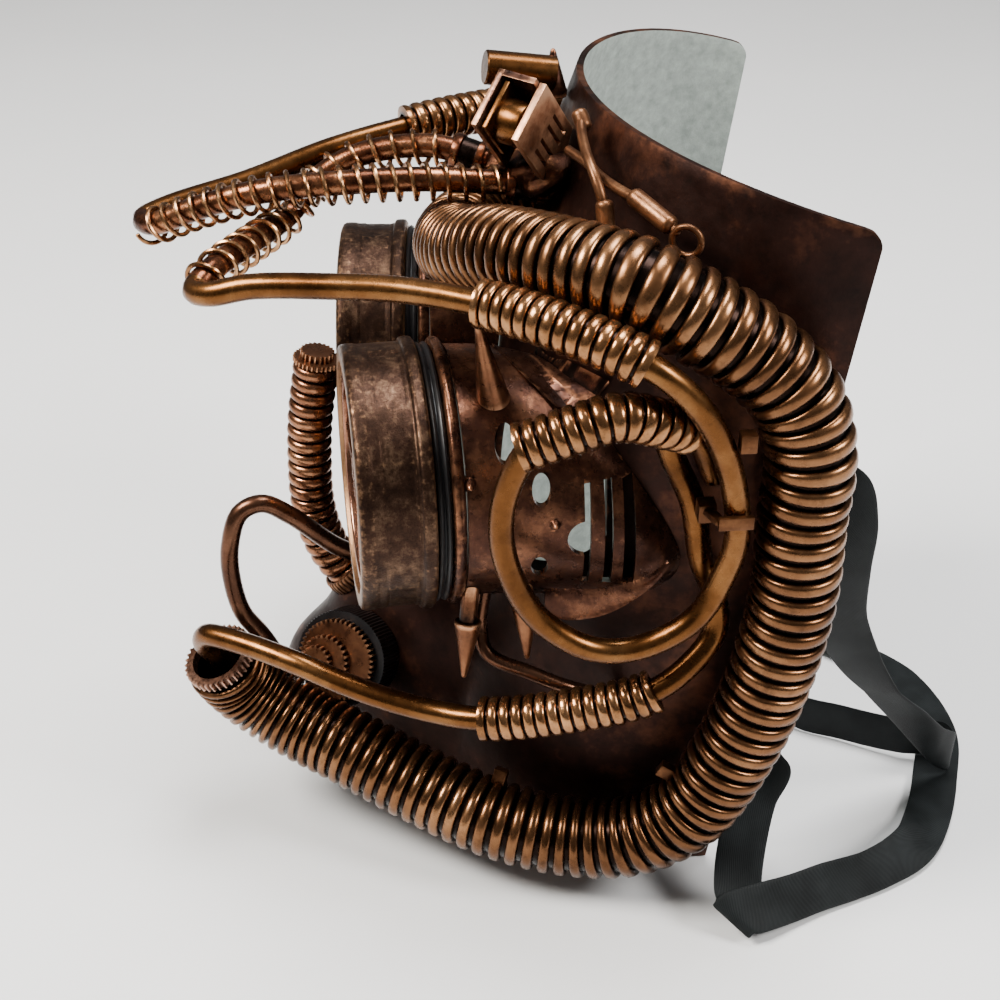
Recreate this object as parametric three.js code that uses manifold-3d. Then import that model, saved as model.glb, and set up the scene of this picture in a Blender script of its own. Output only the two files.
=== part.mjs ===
import * as THREE from 'three';
import { mergeVertices } from 'three/addons/utils/BufferGeometryUtils.js';
import Module from 'manifold-3d';

const wasm = await Module();
wasm.setup();

// Millimetres. +X is the wearer's left, -Y the front, +Z up. The lower rim stands on z = 0.
const CHIN_Y = -39;          // middle of the lower rim at the chin, taken to y = 0 when a piece is added
const RIM_HEIGHT = 239;      // top rim at the forehead
const RIM_DROP = 18.8;       // how much lower the top rim is at the back corners
const RIM_REACH = 102;       // length over which the rim falls towards the back
const WALL = 2;              // shell wall
const GAP = 0.35;            // clearance between neighbouring pieces
const SEAT = 0.6;            // clearance of pieces cut to the shell's form
const BACK_LOW = 61;         // back edge at the lower rim
const BACK_LEAN = 30;        // how far the back edge leans back up to the top

const EYE_X = 46;            // eye can, middle of its front
const EYE_Y = -49;
const EYE_Z = 133;
const EYE_TOE = 4.5;           // degrees that each can turns outward
const EYE_SIDES = 14;
const EYE_HOLE = 30;         // radius of the hole in the shell

const HOSE_R = 12.5;
const HOSE_GROOVE = 10.6;
const HOSE_BORE = 8.6;
const HOSE_PITCH = 7;
const HOSE_SIDES = 7;
const TUBE_R = 3.5;
const TUBE_SIDES = 6;
const SLEEVE_R = 6.6;
const SLEEVE_GROOVE = 5.7;
const SLEEVE_BORE = 4.7;
const SLEEVE_SIDES = 6;
const SLEEVE_PITCH = 5;
const RIBBON_W = 15;
const RIBBON_T = 1;

const COPPER = { color: 0x6a4030, metalness: 0.85, roughness: 0.42 };
const DARK_COPPER = { color: 0x3a2520, metalness: 0.6, roughness: 0.5 };
const GOLD = { color: 0x9c6a38, metalness: 0.95, roughness: 0.32 };
const BRONZE = { color: 0x6e4726, metalness: 0.9, roughness: 0.4 };
const BLACK = { color: 0x121013, metalness: 0.1, roughness: 0.5 };
const GLASS = { color: 0xb07a34, metalness: 0.4, roughness: 0.15 };
const RIBBON = { color: 0x15181a, metalness: 0, roughness: 0.65 };

const mask = new THREE.Group();

function clean(geometry) {
  const bare = new THREE.BufferGeometry();
  const source = geometry.index ? geometry : mergeVertices(geometry);
  bare.setAttribute('position', source.getAttribute('position').clone());
  bare.setIndex(source.index.clone());
  const merged = mergeVertices(bare, 1e-4);
  const faces = [];
  const ids = merged.index.array;
  for (let i = 0; i < ids.length; i += 3) {
    const [a, b, c] = [ids[i], ids[i + 1], ids[i + 2]];
    if (a !== b && b !== c && c !== a) faces.push(a, b, c);
  }
  merged.setIndex(faces);
  return outward(merged);
}

function outward(geometry) {
  const p = geometry.getAttribute('position');
  const ids = geometry.index.array;
  const [a, b, c] = [new THREE.Vector3(), new THREE.Vector3(), new THREE.Vector3()];
  let volume = 0;
  for (let i = 0; i < ids.length; i += 3) {
    a.fromBufferAttribute(p, ids[i]);
    b.fromBufferAttribute(p, ids[i + 1]);
    c.fromBufferAttribute(p, ids[i + 2]);
    volume += a.dot(b.cross(c));
  }
  if (volume < 0) {
    const flipped = [];
    for (let i = 0; i < ids.length; i += 3) flipped.push(ids[i], ids[i + 2], ids[i + 1]);
    geometry.setIndex(flipped);
  }
  return geometry;
}

function solid(geometry) {
  const g = clean(geometry);
  return new wasm.Manifold(new wasm.Mesh({
    numProp: 3,
    vertProperties: new Float32Array(g.getAttribute('position').array),
    triVerts: new Uint32Array(g.index.array),
  }));
}

function surface(body) {
  const m = body.getMesh();
  const g = new THREE.BufferGeometry();
  g.setAttribute('position', new THREE.BufferAttribute(new Float32Array(m.vertProperties), 3));
  g.setIndex(Array.from(m.triVerts));
  return g;
}

function add(name, geometry, look) {
  const g = clean(geometry);
  g.translate(0, -CHIN_Y, 0);
  g.computeVertexNormals();
  const mesh = new THREE.Mesh(g, new THREE.MeshStandardMaterial(look));
  mesh.name = name;
  mask.add(mesh);
}

function mirrored(geometry) {
  return outward(clean(geometry).scale(-1, 1, 1));
}

function vec(row) {
  return new THREE.Vector3(row[0], row[1], row[2]);
}

function route(rows) {
  return new THREE.CatmullRomCurve3(rows.map(vec), false, 'centripetal');
}

// Lathe profiles are [radius, station]; stations run along the curve.
function frames(curve, count) {
  const list = [];
  let side = null;
  for (let i = 0; i <= count; i += 1) {
    const at = curve.getPointAt(i / count);
    const along = curve.getTangentAt(i / count).normalize();
    if (!side) {
      const helper = Math.abs(along.z) < 0.9 ? new THREE.Vector3(0, 0, 1) : new THREE.Vector3(1, 0, 0);
      side = helper.cross(along);
    }
    side = side.clone().addScaledVector(along, -side.dot(along)).normalize();
    list.push({ at, along, side, up: along.clone().cross(side) });
  }
  return list;
}

function frameAt(list, length, s) {
  const f = THREE.MathUtils.clamp(s / length, 0, 1) * (list.length - 1);
  const i = Math.min(Math.floor(f), list.length - 2);
  const k = f - i;
  return {
    at: list[i].at.clone().lerp(list[i + 1].at, k),
    side: list[i].side.clone().lerp(list[i + 1].side, k).normalize(),
    up: list[i].up.clone().lerp(list[i + 1].up, k).normalize(),
  };
}

function bendLathe(profile, sides, curve) {
  const g = new THREE.LatheGeometry(profile.map(([r, s]) => new THREE.Vector2(r, s)), sides);
  const length = curve.getLength();
  const list = frames(curve, 240);
  const p = g.getAttribute('position');
  for (let i = 0; i < p.count; i += 1) {
    const f = frameAt(list, length, p.getY(i));
    const q = f.at.addScaledVector(f.side, p.getX(i)).addScaledVector(f.up, p.getZ(i));
    p.setXYZ(i, q.x, q.y, q.z);
  }
  return g;
}

function plainProfile(radius, length, step) {
  const count = Math.max(2, Math.round(length / step));
  const rows = [[0, 0]];
  for (let i = 0; i <= count; i += 1) rows.push([radius, length * i / count]);
  rows.push([0, length]);
  return rows;
}

function ribs(crest, groove, from, to, pitch) {
  const count = Math.max(2, Math.round((to - from) / pitch));
  const rows = [];
  for (let i = 0; i < count; i += 1) {
    rows.push([groove, from + (to - from) * i / count]);
    rows.push([crest, from + (to - from) * (i + 0.5) / count]);
  }
  rows.push([groove, to]);
  return rows;
}

function tube(rows, radius, sides, step) {
  const curve = route(rows);
  return bendLathe(plainProfile(radius, curve.getLength(), step), sides, curve);
}

// A ribbed sleeve on the stretch of a tube between two stations.
function sleeve(curve, from, to) {
  const outer = ribs(SLEEVE_R, SLEEVE_GROOVE, from, to, SLEEVE_PITCH);
  const bore = [];
  for (let i = 0; i <= 7; i += 1) bore.push([SLEEVE_BORE, to + (from - to) * i / 7]);
  return bendLathe([...outer, ...bore, outer[0]], SLEEVE_SIDES, curve);
}

function nearestStation(curve, row) {
  const target = vec(row);
  let best = [Infinity, 0];
  for (let i = 0; i <= 400; i += 1) {
    const d = curve.getPointAt(i / 400).distanceTo(target);
    if (d < best[0]) best = [d, i / 400];
  }
  return best[1] * curve.getLength();
}

// Faces between rows of points; each row is a closed loop.
function loft(loops) {
  const n = loops[0].length;
  const points = [];
  const faces = [];
  for (const loop of loops) for (const q of loop) points.push(q.x, q.y, q.z);
  for (let j = 0; j < loops.length - 1; j += 1) {
    for (let i = 0; i < n; i += 1) {
      const k = (i + 1) % n;
      const [a, b, c, d] = [j * n + i, j * n + k, (j + 1) * n + k, (j + 1) * n + i];
      faces.push(a, b, c, a, c, d);
    }
  }
  const caps = [[0, loops[0], true], [(loops.length - 1) * n, loops[loops.length - 1], false]];
  for (const [base, loop, under] of caps) {
    for (const [i, j, k] of capFaces(loop)) {
      if (under) faces.push(base + i, base + k, base + j);
      else faces.push(base + i, base + j, base + k);
    }
  }
  const g = new THREE.BufferGeometry();
  g.setAttribute('position', new THREE.Float32BufferAttribute(points, 3));
  g.setIndex(faces);
  return g;
}

// A cap is filled in the plane of its own loop.
function capFaces(loop) {
  const middle = loop.reduce((sum, q) => sum.add(q), new THREE.Vector3()).divideScalar(loop.length);
  const normal = new THREE.Vector3();
  loop.forEach((q, i) => {
    const next = loop[(i + 1) % loop.length];
    normal.add(q.clone().sub(middle).cross(next.clone().sub(middle)));
  });
  normal.normalize();
  const across = loop[1].clone().sub(loop[0]).normalize();
  const other = normal.clone().cross(across);
  const flat = loop.map((q) => new THREE.Vector2(q.clone().sub(middle).dot(across),
    q.clone().sub(middle).dot(other)));
  return THREE.ShapeUtils.triangulateShape(flat, []);
}

// Shell. One row for each level: half width at the back, front of the cheeks, squareness of the
// plan, and the snout's reach and half width.
const SHELL_ROWS = [
  { z: 0, half: 75, front: -32, square: 2.2, snout: 8, narrow: 40 },
  { z: 16, half: 76, front: -30, square: 2.2, snout: 28, narrow: 40 },
  { z: 32, half: 76.5, front: -27, square: 2.2, snout: 47, narrow: 40 },
  { z: 43, half: 77, front: -25, square: 2.2, snout: 46, narrow: 39 },
  { z: 54, half: 77.5, front: -22, square: 2.2, snout: 39, narrow: 38 },
  { z: 66, half: 78, front: -18, square: 2.3, snout: 36, narrow: 35 },
  { z: 78, half: 79, front: -13, square: 2.3, snout: 28, narrow: 30 },
  { z: 91, half: 79.5, front: -9, square: 2.4, snout: 12, narrow: 22 },
  { z: 106, half: 80, front: -6, square: 2.5, snout: 0, narrow: 20 },
  { z: 136, half: 81.6, front: -1, square: 2.5, snout: 0, narrow: 20 },
  { z: 168, half: 82.2, front: 4, square: 2.35, snout: 0, narrow: 20 },
  { z: 204, half: 82.6, front: 12, square: 2.15, snout: 0, narrow: 20 },
  { z: RIM_HEIGHT, half: 82.8, front: 23, square: 1.95, snout: 0, narrow: 20 },
];
const SHELL_STEPS = 8;

function shellPoint(row, t, inset) {
  const turn = (Math.PI / 2) * (1 - (1 - Math.abs(t)) ** 1.6);
  const back = BACK_LOW + BACK_LEAN * row.z / RIM_HEIGHT;
  const half = row.half - inset;
  const front = row.front + inset;
  const x = half * Math.max(0, Math.cos(turn)) ** (2 / row.square);
  const reach = (back - front) * Math.sin(turn) ** (2 / row.square);
  const narrow = row.narrow - inset * 1.1;
  const bump = x < narrow ? row.snout * (1 - (x / narrow) ** 2) ** 1.4 : 0;
  const fall = RIM_DROP * Math.min(1, Math.max(0, (RIM_REACH - reach) / RIM_REACH)) ** 1.7;
  const z = row.z * (1 - fall / RIM_HEIGHT);
  return new THREE.Vector3(t < 0 ? -x : x, back - reach - bump, z);
}

function shellLine(row, inset) {
  const line = [];
  for (let i = 0; i <= 2 * SHELL_STEPS; i += 1) {
    const k = i / SHELL_STEPS;
    if (k <= 1) line.push(shellPoint(row, k, inset));
    else {
      const q = shellPoint(row, 2 - k, inset);
      line.push(new THREE.Vector3(-q.x, q.y, q.z));
    }
  }
  return line;
}

const shellWall = loft(SHELL_ROWS.map((row) => [...shellLine(row, 0), ...shellLine(row, WALL).reverse()]));
const shellFill = solid(loft(SHELL_ROWS.map((row) => shellLine(row, -SEAT))));

function eyeFrame(side) {
  const toe = THREE.MathUtils.degToRad(EYE_TOE);
  const back = new THREE.Vector3(-side * Math.sin(toe), Math.cos(toe), 0);
  return { middle: new THREE.Vector3(side * EYE_X, EYE_Y, EYE_Z), back };
}

// Lathe bodies of an eye run along its own line, station 0 at the front.
function onEye(profile, side, sides) {
  const { middle, back } = eyeFrame(side);
  const far = middle.clone().addScaledVector(back, 80);
  const near = middle.clone().addScaledVector(back, -20);
  const line = new THREE.LineCurve3(near, far);
  return bendLathe(profile.map(([r, s]) => [r, s + 20]), sides, line);
}

// Eye can, stations along its own line from the front.
const BARREL = [[34, 0], [38, 0], [39.4, 1.6], [39.4, 17.6], [41, 18.4], [41, 20.8], [40.2, 21.6], [34, 21.6],
  [34, 0]];
const GASKET = [[32.5, 22], [38.4, 22], [38.4, 26], [32.5, 26], [32.5, 22]];
const BEZEL = [[32.5, 26.4], [39, 26.4], [39.8, 27.8], [38.6, 30], [32.5, 30], [32.5, 26.4]];
const LENS = [[0, 6], [24, 6.6], [33.6, 8.5], [33.6, 11], [0, 11]];

function lensCross(side) {
  const ring = onEye([[30.6, 1.2], [33.6, 1.2], [33.6, 5.4], [30.6, 5.4], [30.6, 1.2]], side, EYE_SIDES);
  const { middle, back } = eyeFrame(side);
  const turn = new THREE.Matrix4();
  const across = new THREE.Vector3().crossVectors(new THREE.Vector3(0, 0, 1), back);
  turn.makeBasis(across, back, new THREE.Vector3(0, 0, 1));
  turn.setPosition(middle.clone().addScaledVector(back, 3.2));
  const tall = new THREE.BoxGeometry(3.2, 2.4, 62).applyMatrix4(turn);
  const wide = new THREE.BoxGeometry(62, 2.4, 3.2).applyMatrix4(turn);
  const hubTall = new THREE.BoxGeometry(7, 3, 15).applyMatrix4(turn);
  const hubWide = new THREE.BoxGeometry(15, 3, 7).applyMatrix4(turn);
  const bars = [wide, hubTall, hubWide].reduce((sum, g) => sum.add(solid(g)), solid(tall));
  return surface(bars.add(solid(ring)));
}

// Eye cup, one row for each section: middle, half width, half height and turn in degrees.
const CUP_ROWS = [
  { x: 43.6, y: -18.6, z: 133, wide: 37.4, tall: 37.4, turn: 4.5 },
  { x: 44, y: -6, z: 132.6, wide: 37.5, tall: 37, turn: 4.5 },
  { x: 46.5, y: 10, z: 131, wide: 36.2, tall: 34.8, turn: 4 },
  { x: 53, y: 26, z: 126.5, wide: 30.2, tall: 28.6, turn: 2 },
  { x: 60, y: 37, z: 122.5, wide: 22, tall: 20.5, turn: 0 },
  { x: 66, y: 44, z: 120, wide: 13, tall: 12, turn: 0 },
  { x: 69, y: 47.5, z: 119, wide: 7, tall: 6, turn: 0 },
];
const CUP_WALL = 2.2;
const CUP_SIDES = 13;

function cupLoop(row, inset, shift) {
  const turn = THREE.MathUtils.degToRad(row.turn);
  const loop = [];
  for (let i = 0; i < CUP_SIDES; i += 1) {
    const a = (i / CUP_SIDES) * 2 * Math.PI;
    const wide = Math.cos(a) * (row.wide - inset);
    loop.push(new THREE.Vector3(row.x + wide * Math.cos(turn), row.y + shift + wide * Math.sin(turn),
      row.z + Math.sin(a) * (row.tall - inset)));
  }
  return loop;
}

function block(size, at) {
  return new THREE.BoxGeometry(size[0], size[1], size[2]).translate(at[0], at[1], at[2]);
}

function bar(from, to, width, depth) {
  const [a, b] = [vec(from), vec(to)];
  const along = b.clone().sub(a);
  const length = along.length();
  const g = new THREE.BoxGeometry(width, depth, length);
  const q = new THREE.Quaternion().setFromUnitVectors(new THREE.Vector3(0, 0, 1), along.normalize());
  const middle = a.clone().lerp(b, 0.5);
  return g.applyQuaternion(q).translate(middle.x, middle.y, middle.z);
}

function across(radius, squash, at) {
  return new THREE.CylinderGeometry(radius, radius, 40, 10).rotateZ(Math.PI / 2)
    .scale(1, 1, squash).translate(at[0], at[1], at[2]);
}

function eyeCup(side) {
  const outer = solid(loft(CUP_ROWS.map((row) => cupLoop(row, 0, 0))));
  const innerRows = CUP_ROWS.slice(0, 6);
  const inner = solid(loft(innerRows.map((row, i) => cupLoop(row, CUP_WALL, i === 0 ? -3 : 0))));
  const ridgeFront = solid(bar([48, -10, 169], [63, 12, 158], 3, 7));
  const ridgeRear = solid(bar([49, 2, 167.5], [61, 23, 154.5], 3, 7));
  let cup = outer.add(ridgeFront).add(ridgeRear).subtract(inner);
  const cuts = [
    block([40, 1.8, 32], [80, 17.5, 131]),
    block([40, 2.4, 32], [80, 23.5, 131]),
    block([40, 3.4, 31], [80, 29.5, 130.5]),
    across(6, 1, [80, 16.6, 131]),
    across(2.6, 1.7, [80, 4.6, 146]),
    across(2.4, 1.6, [80, 4.2, 121.5]),
    across(3.4, 1.7, [80, -4.6, 160]),
  ];
  for (const cut of cuts) cup = cup.subtract(solid(cut));
  if (side < 0) cup = solid(mirrored(surface(cup)));
  const pieces = cup.subtract(shellFill).decompose();
  pieces.sort((a, b) => b.volume() - a.volume());
  return surface(pieces[0]);
}

const slotRows = [[146, 20], [44, 20]];       // middle height and height of the strap slots
let shell = solid(shellWall);
for (const side of [1, -1]) {
  shell = shell.subtract(solid(onEye([[0, 30], [EYE_HOLE, 30], [EYE_HOLE, 72], [0, 72]], side, EYE_SIDES)));
  for (const [z, tall] of slotRows) {
    const y = BACK_LOW + BACK_LEAN * z / RIM_HEIGHT - 6;
    shell = shell.subtract(solid(block([30, 2.4, tall - 2], [side * 80, y, z])));
  }
}
add('face_shell', surface(shell), DARK_COPPER);

for (const [side, name] of [[1, 'left'], [-1, 'right']]) {
  add(`eyecup_${name}`, eyeCup(side), COPPER);
  add(`bezel_ring_${name}`, onEye(BEZEL, side, EYE_SIDES), COPPER);
  add(`gasket_${name}`, onEye(GASKET, side, EYE_SIDES), BLACK);
  add(`barrel_${name}`, onEye(BARREL, side, EYE_SIDES), COPPER);
  add(`lens_${name}`, onEye(LENS, side, EYE_SIDES), GLASS);
  add(`lens_cross_${name}`, lensCross(side), COPPER);
}

// Cones, one row for each: name, base, tip, radius and the length of the narrow neck under the cone.
const SPIKES = [
  { name: 'spike_top', base: [58.6, -6.4, 160.5], tip: [70, -12.2, 193.8], radius: 5.4, neck: 0 },
  { name: 'spike_front', base: [71.5, -14.6, 113], tip: [77.8, -17.6, 81.2], radius: 4, neck: 14 },
  { name: 'spike_rear', base: [74, 0.4, 114], tip: [80, 1, 88.6], radius: 4.2, neck: 7 },
];

function cone(row) {
  const [a, b] = [vec(row.base), vec(row.tip)];
  const line = new THREE.LineCurve3(a, b);
  const foot = row.neck ? [[0, 0], [2.6, 0], [2.6, row.neck]] : [[0, 0]];
  const end = line.getLength();
  return bendLathe([...foot, [row.radius, row.neck || 0], [0.7, end - 0.5], [0, end]], 9, line);
}

const cupGrown = solid(loft(CUP_ROWS.map((row, i) => cupLoop(row, -GAP, i === 0 ? -GAP : 0))));
const bezelGrown = solid(onEye([[0, 16], [40.4, 16], [40.4, 30.4], [0, 30.4]], 1, 24));
for (const row of SPIKES) {
  const body = surface(solid(cone(row)).subtract(cupGrown).subtract(bezelGrown));
  add(`${row.name}_left`, body, COPPER);
  add(`${row.name}_right`, mirrored(body), COPPER);
}

// Thick ribbed hose: from its open end in front of the snout, under the cheek, up the side and
// forward over the temple to the forehead.
const HOSE_ROUTE = [
  [38, -92.5, 62], [35.6, -88.6, 53.2], [36.5, -81, 45], [42, -69, 38.5], [51, -53, 34], [63, -31, 27],
  [76, -7, 22], [84, 18, 20], [89, 36, 25], [92, 51, 38], [93.5, 62, 61], [94.5, 70, 89],
  [95.3, 74, 117], [95.5, 74, 143], [96, 74, 165],
  [95, 69, 181], [93.5, 58, 193], [92, 44, 202.5], [87, 28, 210.5], [72, 10, 210.5], [52, -4, 206],
  [32, -12.5, 198], [12, -14, 193], [-4, -5, 193], [-12, 12, 195],
];
const hoseCurve = route(HOSE_ROUTE);
const hoseLength = hoseCurve.getLength();
const hoseBody = solid(bendLathe([[0, 0], ...ribs(HOSE_R, HOSE_GROOVE, 0, hoseLength, HOSE_PITCH),
  [0, hoseLength]], HOSE_SIDES, hoseCurve));
const hoseBore = solid(bendLathe([[0, 0], [HOSE_BORE, 0], [HOSE_BORE, 7], [HOSE_BORE, 14], [0, 14]],
  HOSE_SIDES, hoseCurve));
const boreLead = hoseCurve.getTangentAt(0).multiplyScalar(-2);
const hoseMouth = surface(hoseBore).translate(boreLead.x, boreLead.y, boreLead.z);
add('main_hose', surface(hoseBody.subtract(hoseBore).subtract(solid(hoseMouth)).subtract(shellFill)), BRONZE);

// Toothed wheels are plain cut-outs, thickened along their own line.
function wheel(teeth, radius, depth, bore, thick, at, along) {
  const shape = new THREE.Shape();
  for (let i = 0; i < 2 * teeth; i += 1) {
    const a = (i / (2 * teeth)) * 2 * Math.PI;
    const r = i % 2 ? radius - depth : radius;
    if (i) shape.lineTo(r * Math.cos(a), r * Math.sin(a));
    else shape.moveTo(r * Math.cos(a), r * Math.sin(a));
  }
  shape.closePath();
  if (bore) {
    const hole = new THREE.Path();
    hole.absarc(0, 0, bore, 0, 2 * Math.PI, true);
    shape.holes.push(hole);
  }
  const g = new THREE.ExtrudeGeometry(shape, { depth: thick, bevelEnabled: false, curveSegments: 6 });
  const q = new THREE.Quaternion().setFromUnitVectors(new THREE.Vector3(0, 0, 1), along.clone().normalize());
  return g.applyQuaternion(q).translate(at.x, at.y, at.z);
}

const mouth = hoseCurve.getPointAt(0);
const mouthOut = hoseCurve.getTangentAt(0).negate();
add('hose_collar', wheel(18, 11.6, 1.4, HOSE_BORE, 3, mouth.clone().addScaledVector(mouthOut, GAP), mouthOut),
  BRONZE);

// Upper tube of the left side: forehead, forward arm, turn at the front, along the temple,
// round in a ring beside the cup, and its tail.
const LEFT_LOOP = [
  [2, -4, 213], [-4, -20, 216], [-8, -41, 212.5], [-6, -54, 206], [2, -63, 198.5], [22, -74, 198],
  [40, -83, 198.5], [48, -87.5, 196], [53, -83, 197], [56, -72, 200], [62, -51, 202], [68, -32, 203],
  [78, -12, 203], [92.4, 6.8, 202.6], [104.3, 28, 196.7], [105.2, 38.5, 188], [104, 46.5, 176],
  [102, 52.5, 160], [99.5, 55.5, 141], [98, 53.5, 129], [98, 46, 113.5], [98, 31, 104.5], [98, 17, 105],
  [98, 1.5, 117], [98, -7, 136], [98.5, -8, 152], [99, -4.5, 165],
  [100, 0, 172.5], [101, 9, 177], [101, 22, 180.5], [99, 33, 177], [95, 43, 171], [91.5, 50, 156],
];
const leftCurve = route(LEFT_LOOP);
const leftProfile = plainProfile(TUBE_R, leftCurve.getLength(), 10);
add('loop_tube_left', bendLathe(leftProfile, TUBE_SIDES, leftCurve), GOLD);
add('coil_sleeve_upper', sleeve(leftCurve, nearestStation(leftCurve, [78, -12, 203]),
  nearestStation(leftCurve, [104, 28, 196.5])), GOLD);
add('coil_sleeve_ring', sleeve(leftCurve, nearestStation(leftCurve, [99.5, -1.5, 169]),
  nearestStation(leftCurve, [96, 41, 172.5])), GOLD);

// Upper tube of the right side, turned the other way.
const RIGHT_LOOP = [
  [12, 20, 207], [13, 4, 210], [14, -8, 211.5], [15, -25, 213], [15, -50, 212.5], [13, -70, 210],
  [7, -88, 203.5], [1, -103, 196.5], [-4, -106, 196], [-8, -99, 198], [-14, -75, 203], [-20, -50, 210],
  [-26, -27, 214], [-34, -8, 215], [-46, 12, 213], [-58, 34, 207],
];
const rightCurve = route(RIGHT_LOOP);
const rightTube = solid(bendLathe(plainProfile(TUBE_R, rightCurve.getLength(), 10), TUBE_SIDES, rightCurve));
add('loop_tube_right', surface(rightTube.subtract(shellFill)), GOLD);
add('coil_sleeve_right', sleeve(rightCurve, nearestStation(rightCurve, [-26, -27, 214]),
  nearestStation(rightCurve, [-42, 1, 214.4])), GOLD);

// Lower tube: from inside the hose's open end, back along the cheek and up beside the cup.
const LOWER_ROUTE = [
  [36, -89.4, 55], [38.7, -93.7, 64.6], [42, -97, 72.5], [46.5, -95, 78.8], [52, -87.5, 80.5],
  [58, -77.7, 80.5], [65, -66, 79.4], [70, -54, 75.8], [75, -41.8, 73.1], [80, -27, 70.9],
  [86, -13, 72], [92, 12, 78], [95, 36, 86], [93, 48, 95], [90, 54, 103], [88.5, 54, 112],
  [88, 49, 126], [88, 45, 146], [88.5, 39, 160],
];
const lowerCurve = route(LOWER_ROUTE);
add('lower_tube', bendLathe(plainProfile(TUBE_R, lowerCurve.getLength(), 10), TUBE_SIDES, lowerCurve), GOLD);
add('coil_sleeve_lower', sleeve(lowerCurve, nearestStation(lowerCurve, [86, -13, 72]),
  nearestStation(lowerCurve, [95, 37, 86])), GOLD);

const SNOUT_LOOP = [
  [6, -26, 82], [9.5, -44, 81], [13, -54, 87], [16, -68.7, 102], [17, -77.2, 107.5], [18, -84.2, 105],
  [20, -88.2, 94.3], [21, -88.6, 81.5], [23, -86, 70], [24, -80.5, 61.5], [25, -76, 53], [22, -72.5, 44],
  [15, -65, 38], [8, -56, 36],
];
add('snout_loop', surface(solid(tube(SNOUT_LOOP, 2.9, 7, 8)).subtract(shellFill)), BRONZE);

const FRONT_ROUTE = [
  [0, -38, 57], [0, -47, 65], [0, -54.5, 73], [0, -59.5, 84], [0, -62, 98], [0, -62, 112], [0, -61, 127.5],
  [0, -57.8, 148],
];
const frontCurve = route(FRONT_ROUTE);
const frontLength = frontCurve.getLength();
const frontBody = solid(bendLathe([[0, 0], ...ribs(7.2, 5.9, 0, frontLength, 5.4), [0, frontLength]], 7,
  frontCurve));
add('front_hose', surface(frontBody.subtract(shellFill)), BRONZE);
const collarRows = [[7.85, 14], [8.6, 14], [9.2, 17], [8.8, 20.5], [7.85, 20.5], [7.85, 17], [7.85, 14]];
const collarRing = solid(bendLathe(collarRows, 12, frontCurve)).subtract(shellFill).decompose();
collarRing.sort((a, b) => b.volume() - a.volume());
add('front_hose_collar', surface(collarRing[0]), BRONZE);
const frontTop = frontCurve.getPointAt(1);
const frontUp = frontCurve.getTangentAt(1);
add('front_hose_cap', wheel(16, 7.4, 1, 0, 4, frontTop.addScaledVector(frontUp, GAP), frontUp), BRONZE);

// Wheels on the snout share one line.
const gearLine = new THREE.Vector3(0.8, -0.45, 0.4).normalize();
const gearSide = new THREE.Vector3(0.087, 0.996, 0);
gearSide.addScaledVector(gearLine, -gearSide.dot(gearLine)).normalize();
const gearSeat = new THREE.Vector3(26, -54.3, 52);
const GEARS = [
  { name: 'gear_disc', teeth: 16, radius: 16, depth: 0.8, thick: 12, out: -9, aside: 0.5, look: BLACK },
  { name: 'gear_large', teeth: 28, radius: 13.4, depth: 1.2, thick: 2.6, out: 3.3, aside: 0, look: BRONZE },
  { name: 'gear_middle', teeth: 18, radius: 8.4, depth: 1, thick: 2, out: 6.2, aside: -3, look: BRONZE },
  { name: 'gear_small', teeth: 14, radius: 5.2, depth: 0.8, thick: 2, out: 8.5, aside: -5, look: BRONZE },
];
const loopGrown = solid(tube(SNOUT_LOOP, 2.9 + GAP + 0.3, 7, 8));
for (const g of GEARS) {
  const seat = gearSeat.clone().addScaledVector(gearLine, g.out).addScaledVector(gearSide, g.aside);
  const body = solid(wheel(g.teeth, g.radius, g.depth, 0, g.thick, seat, gearLine));
  const pieces = body.subtract(shellFill).subtract(loopGrown).decompose();
  pieces.sort((a, b) => b.volume() - a.volume());
  add(g.name, surface(pieces[0]), g.look);
}

// Block at the forehead, on its own axes: along its coil, down its side and across it.
const COIL = new THREE.Vector3(0.626, 0.777, -0.062).normalize();
const DOWN = new THREE.Vector3(0.5424, -0.493, -0.68).normalize();
const OVER = new THREE.Vector3().crossVectors(COIL, DOWN).normalize();
const BLOCK_CORNER = new THREE.Vector3(17.4, -1.6, 245.4);

function onBlock(geometry, middle) {
  const turn = new THREE.Matrix4().makeBasis(COIL, DOWN, OVER);
  const at = BLOCK_CORNER.clone().addScaledVector(COIL, middle[0]).addScaledVector(DOWN, middle[1])
    .addScaledVector(OVER, middle[2]);
  turn.setPosition(at);
  return solid(geometry.applyMatrix4(turn));
}

let plate = onBlock(new THREE.BoxGeometry(2, 18, 28), [13.6, 9, 14]);
for (const down of [3.4, 6.8, 11.2, 14.6]) {
  plate = plate.subtract(onBlock(new THREE.BoxGeometry(6, 1.3, 9), [13.6, down, 13]));
}
add('connector_plate', surface(plate.subtract(shellFill)), COPPER);
const yoke = onBlock(new THREE.BoxGeometry(1.8, 18, 28), [0.9, 9, 14])
  .add(onBlock(new THREE.BoxGeometry(11.8, 1.8, 28), [6.3, 0.9, 14]));
const grownProfile = plainProfile(TUBE_R + GAP, rightCurve.getLength(), 10);
const rightGrown = solid(bendLathe(grownProfile, TUBE_SIDES, rightCurve));
add('connector_frame', surface(yoke.subtract(shellFill).subtract(rightGrown)), DARK_COPPER);
const coil = onBlock(new THREE.CylinderGeometry(6.4, 6.4, 7.2, 12).rotateZ(Math.PI / 2), [8, 10.6, 8.4])
  .add(onBlock(new THREE.BoxGeometry(1.6, 15, 15), [3.7, 10, 8.4]));
add('connector_core', surface(coil.subtract(shellFill)), GOLD);

const nut = solid(block([10, 20, 9], [2, 7.7, 212.6]));
add('forehead_block', surface(nut.subtract(shellFill)), DARK_COPPER);

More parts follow.
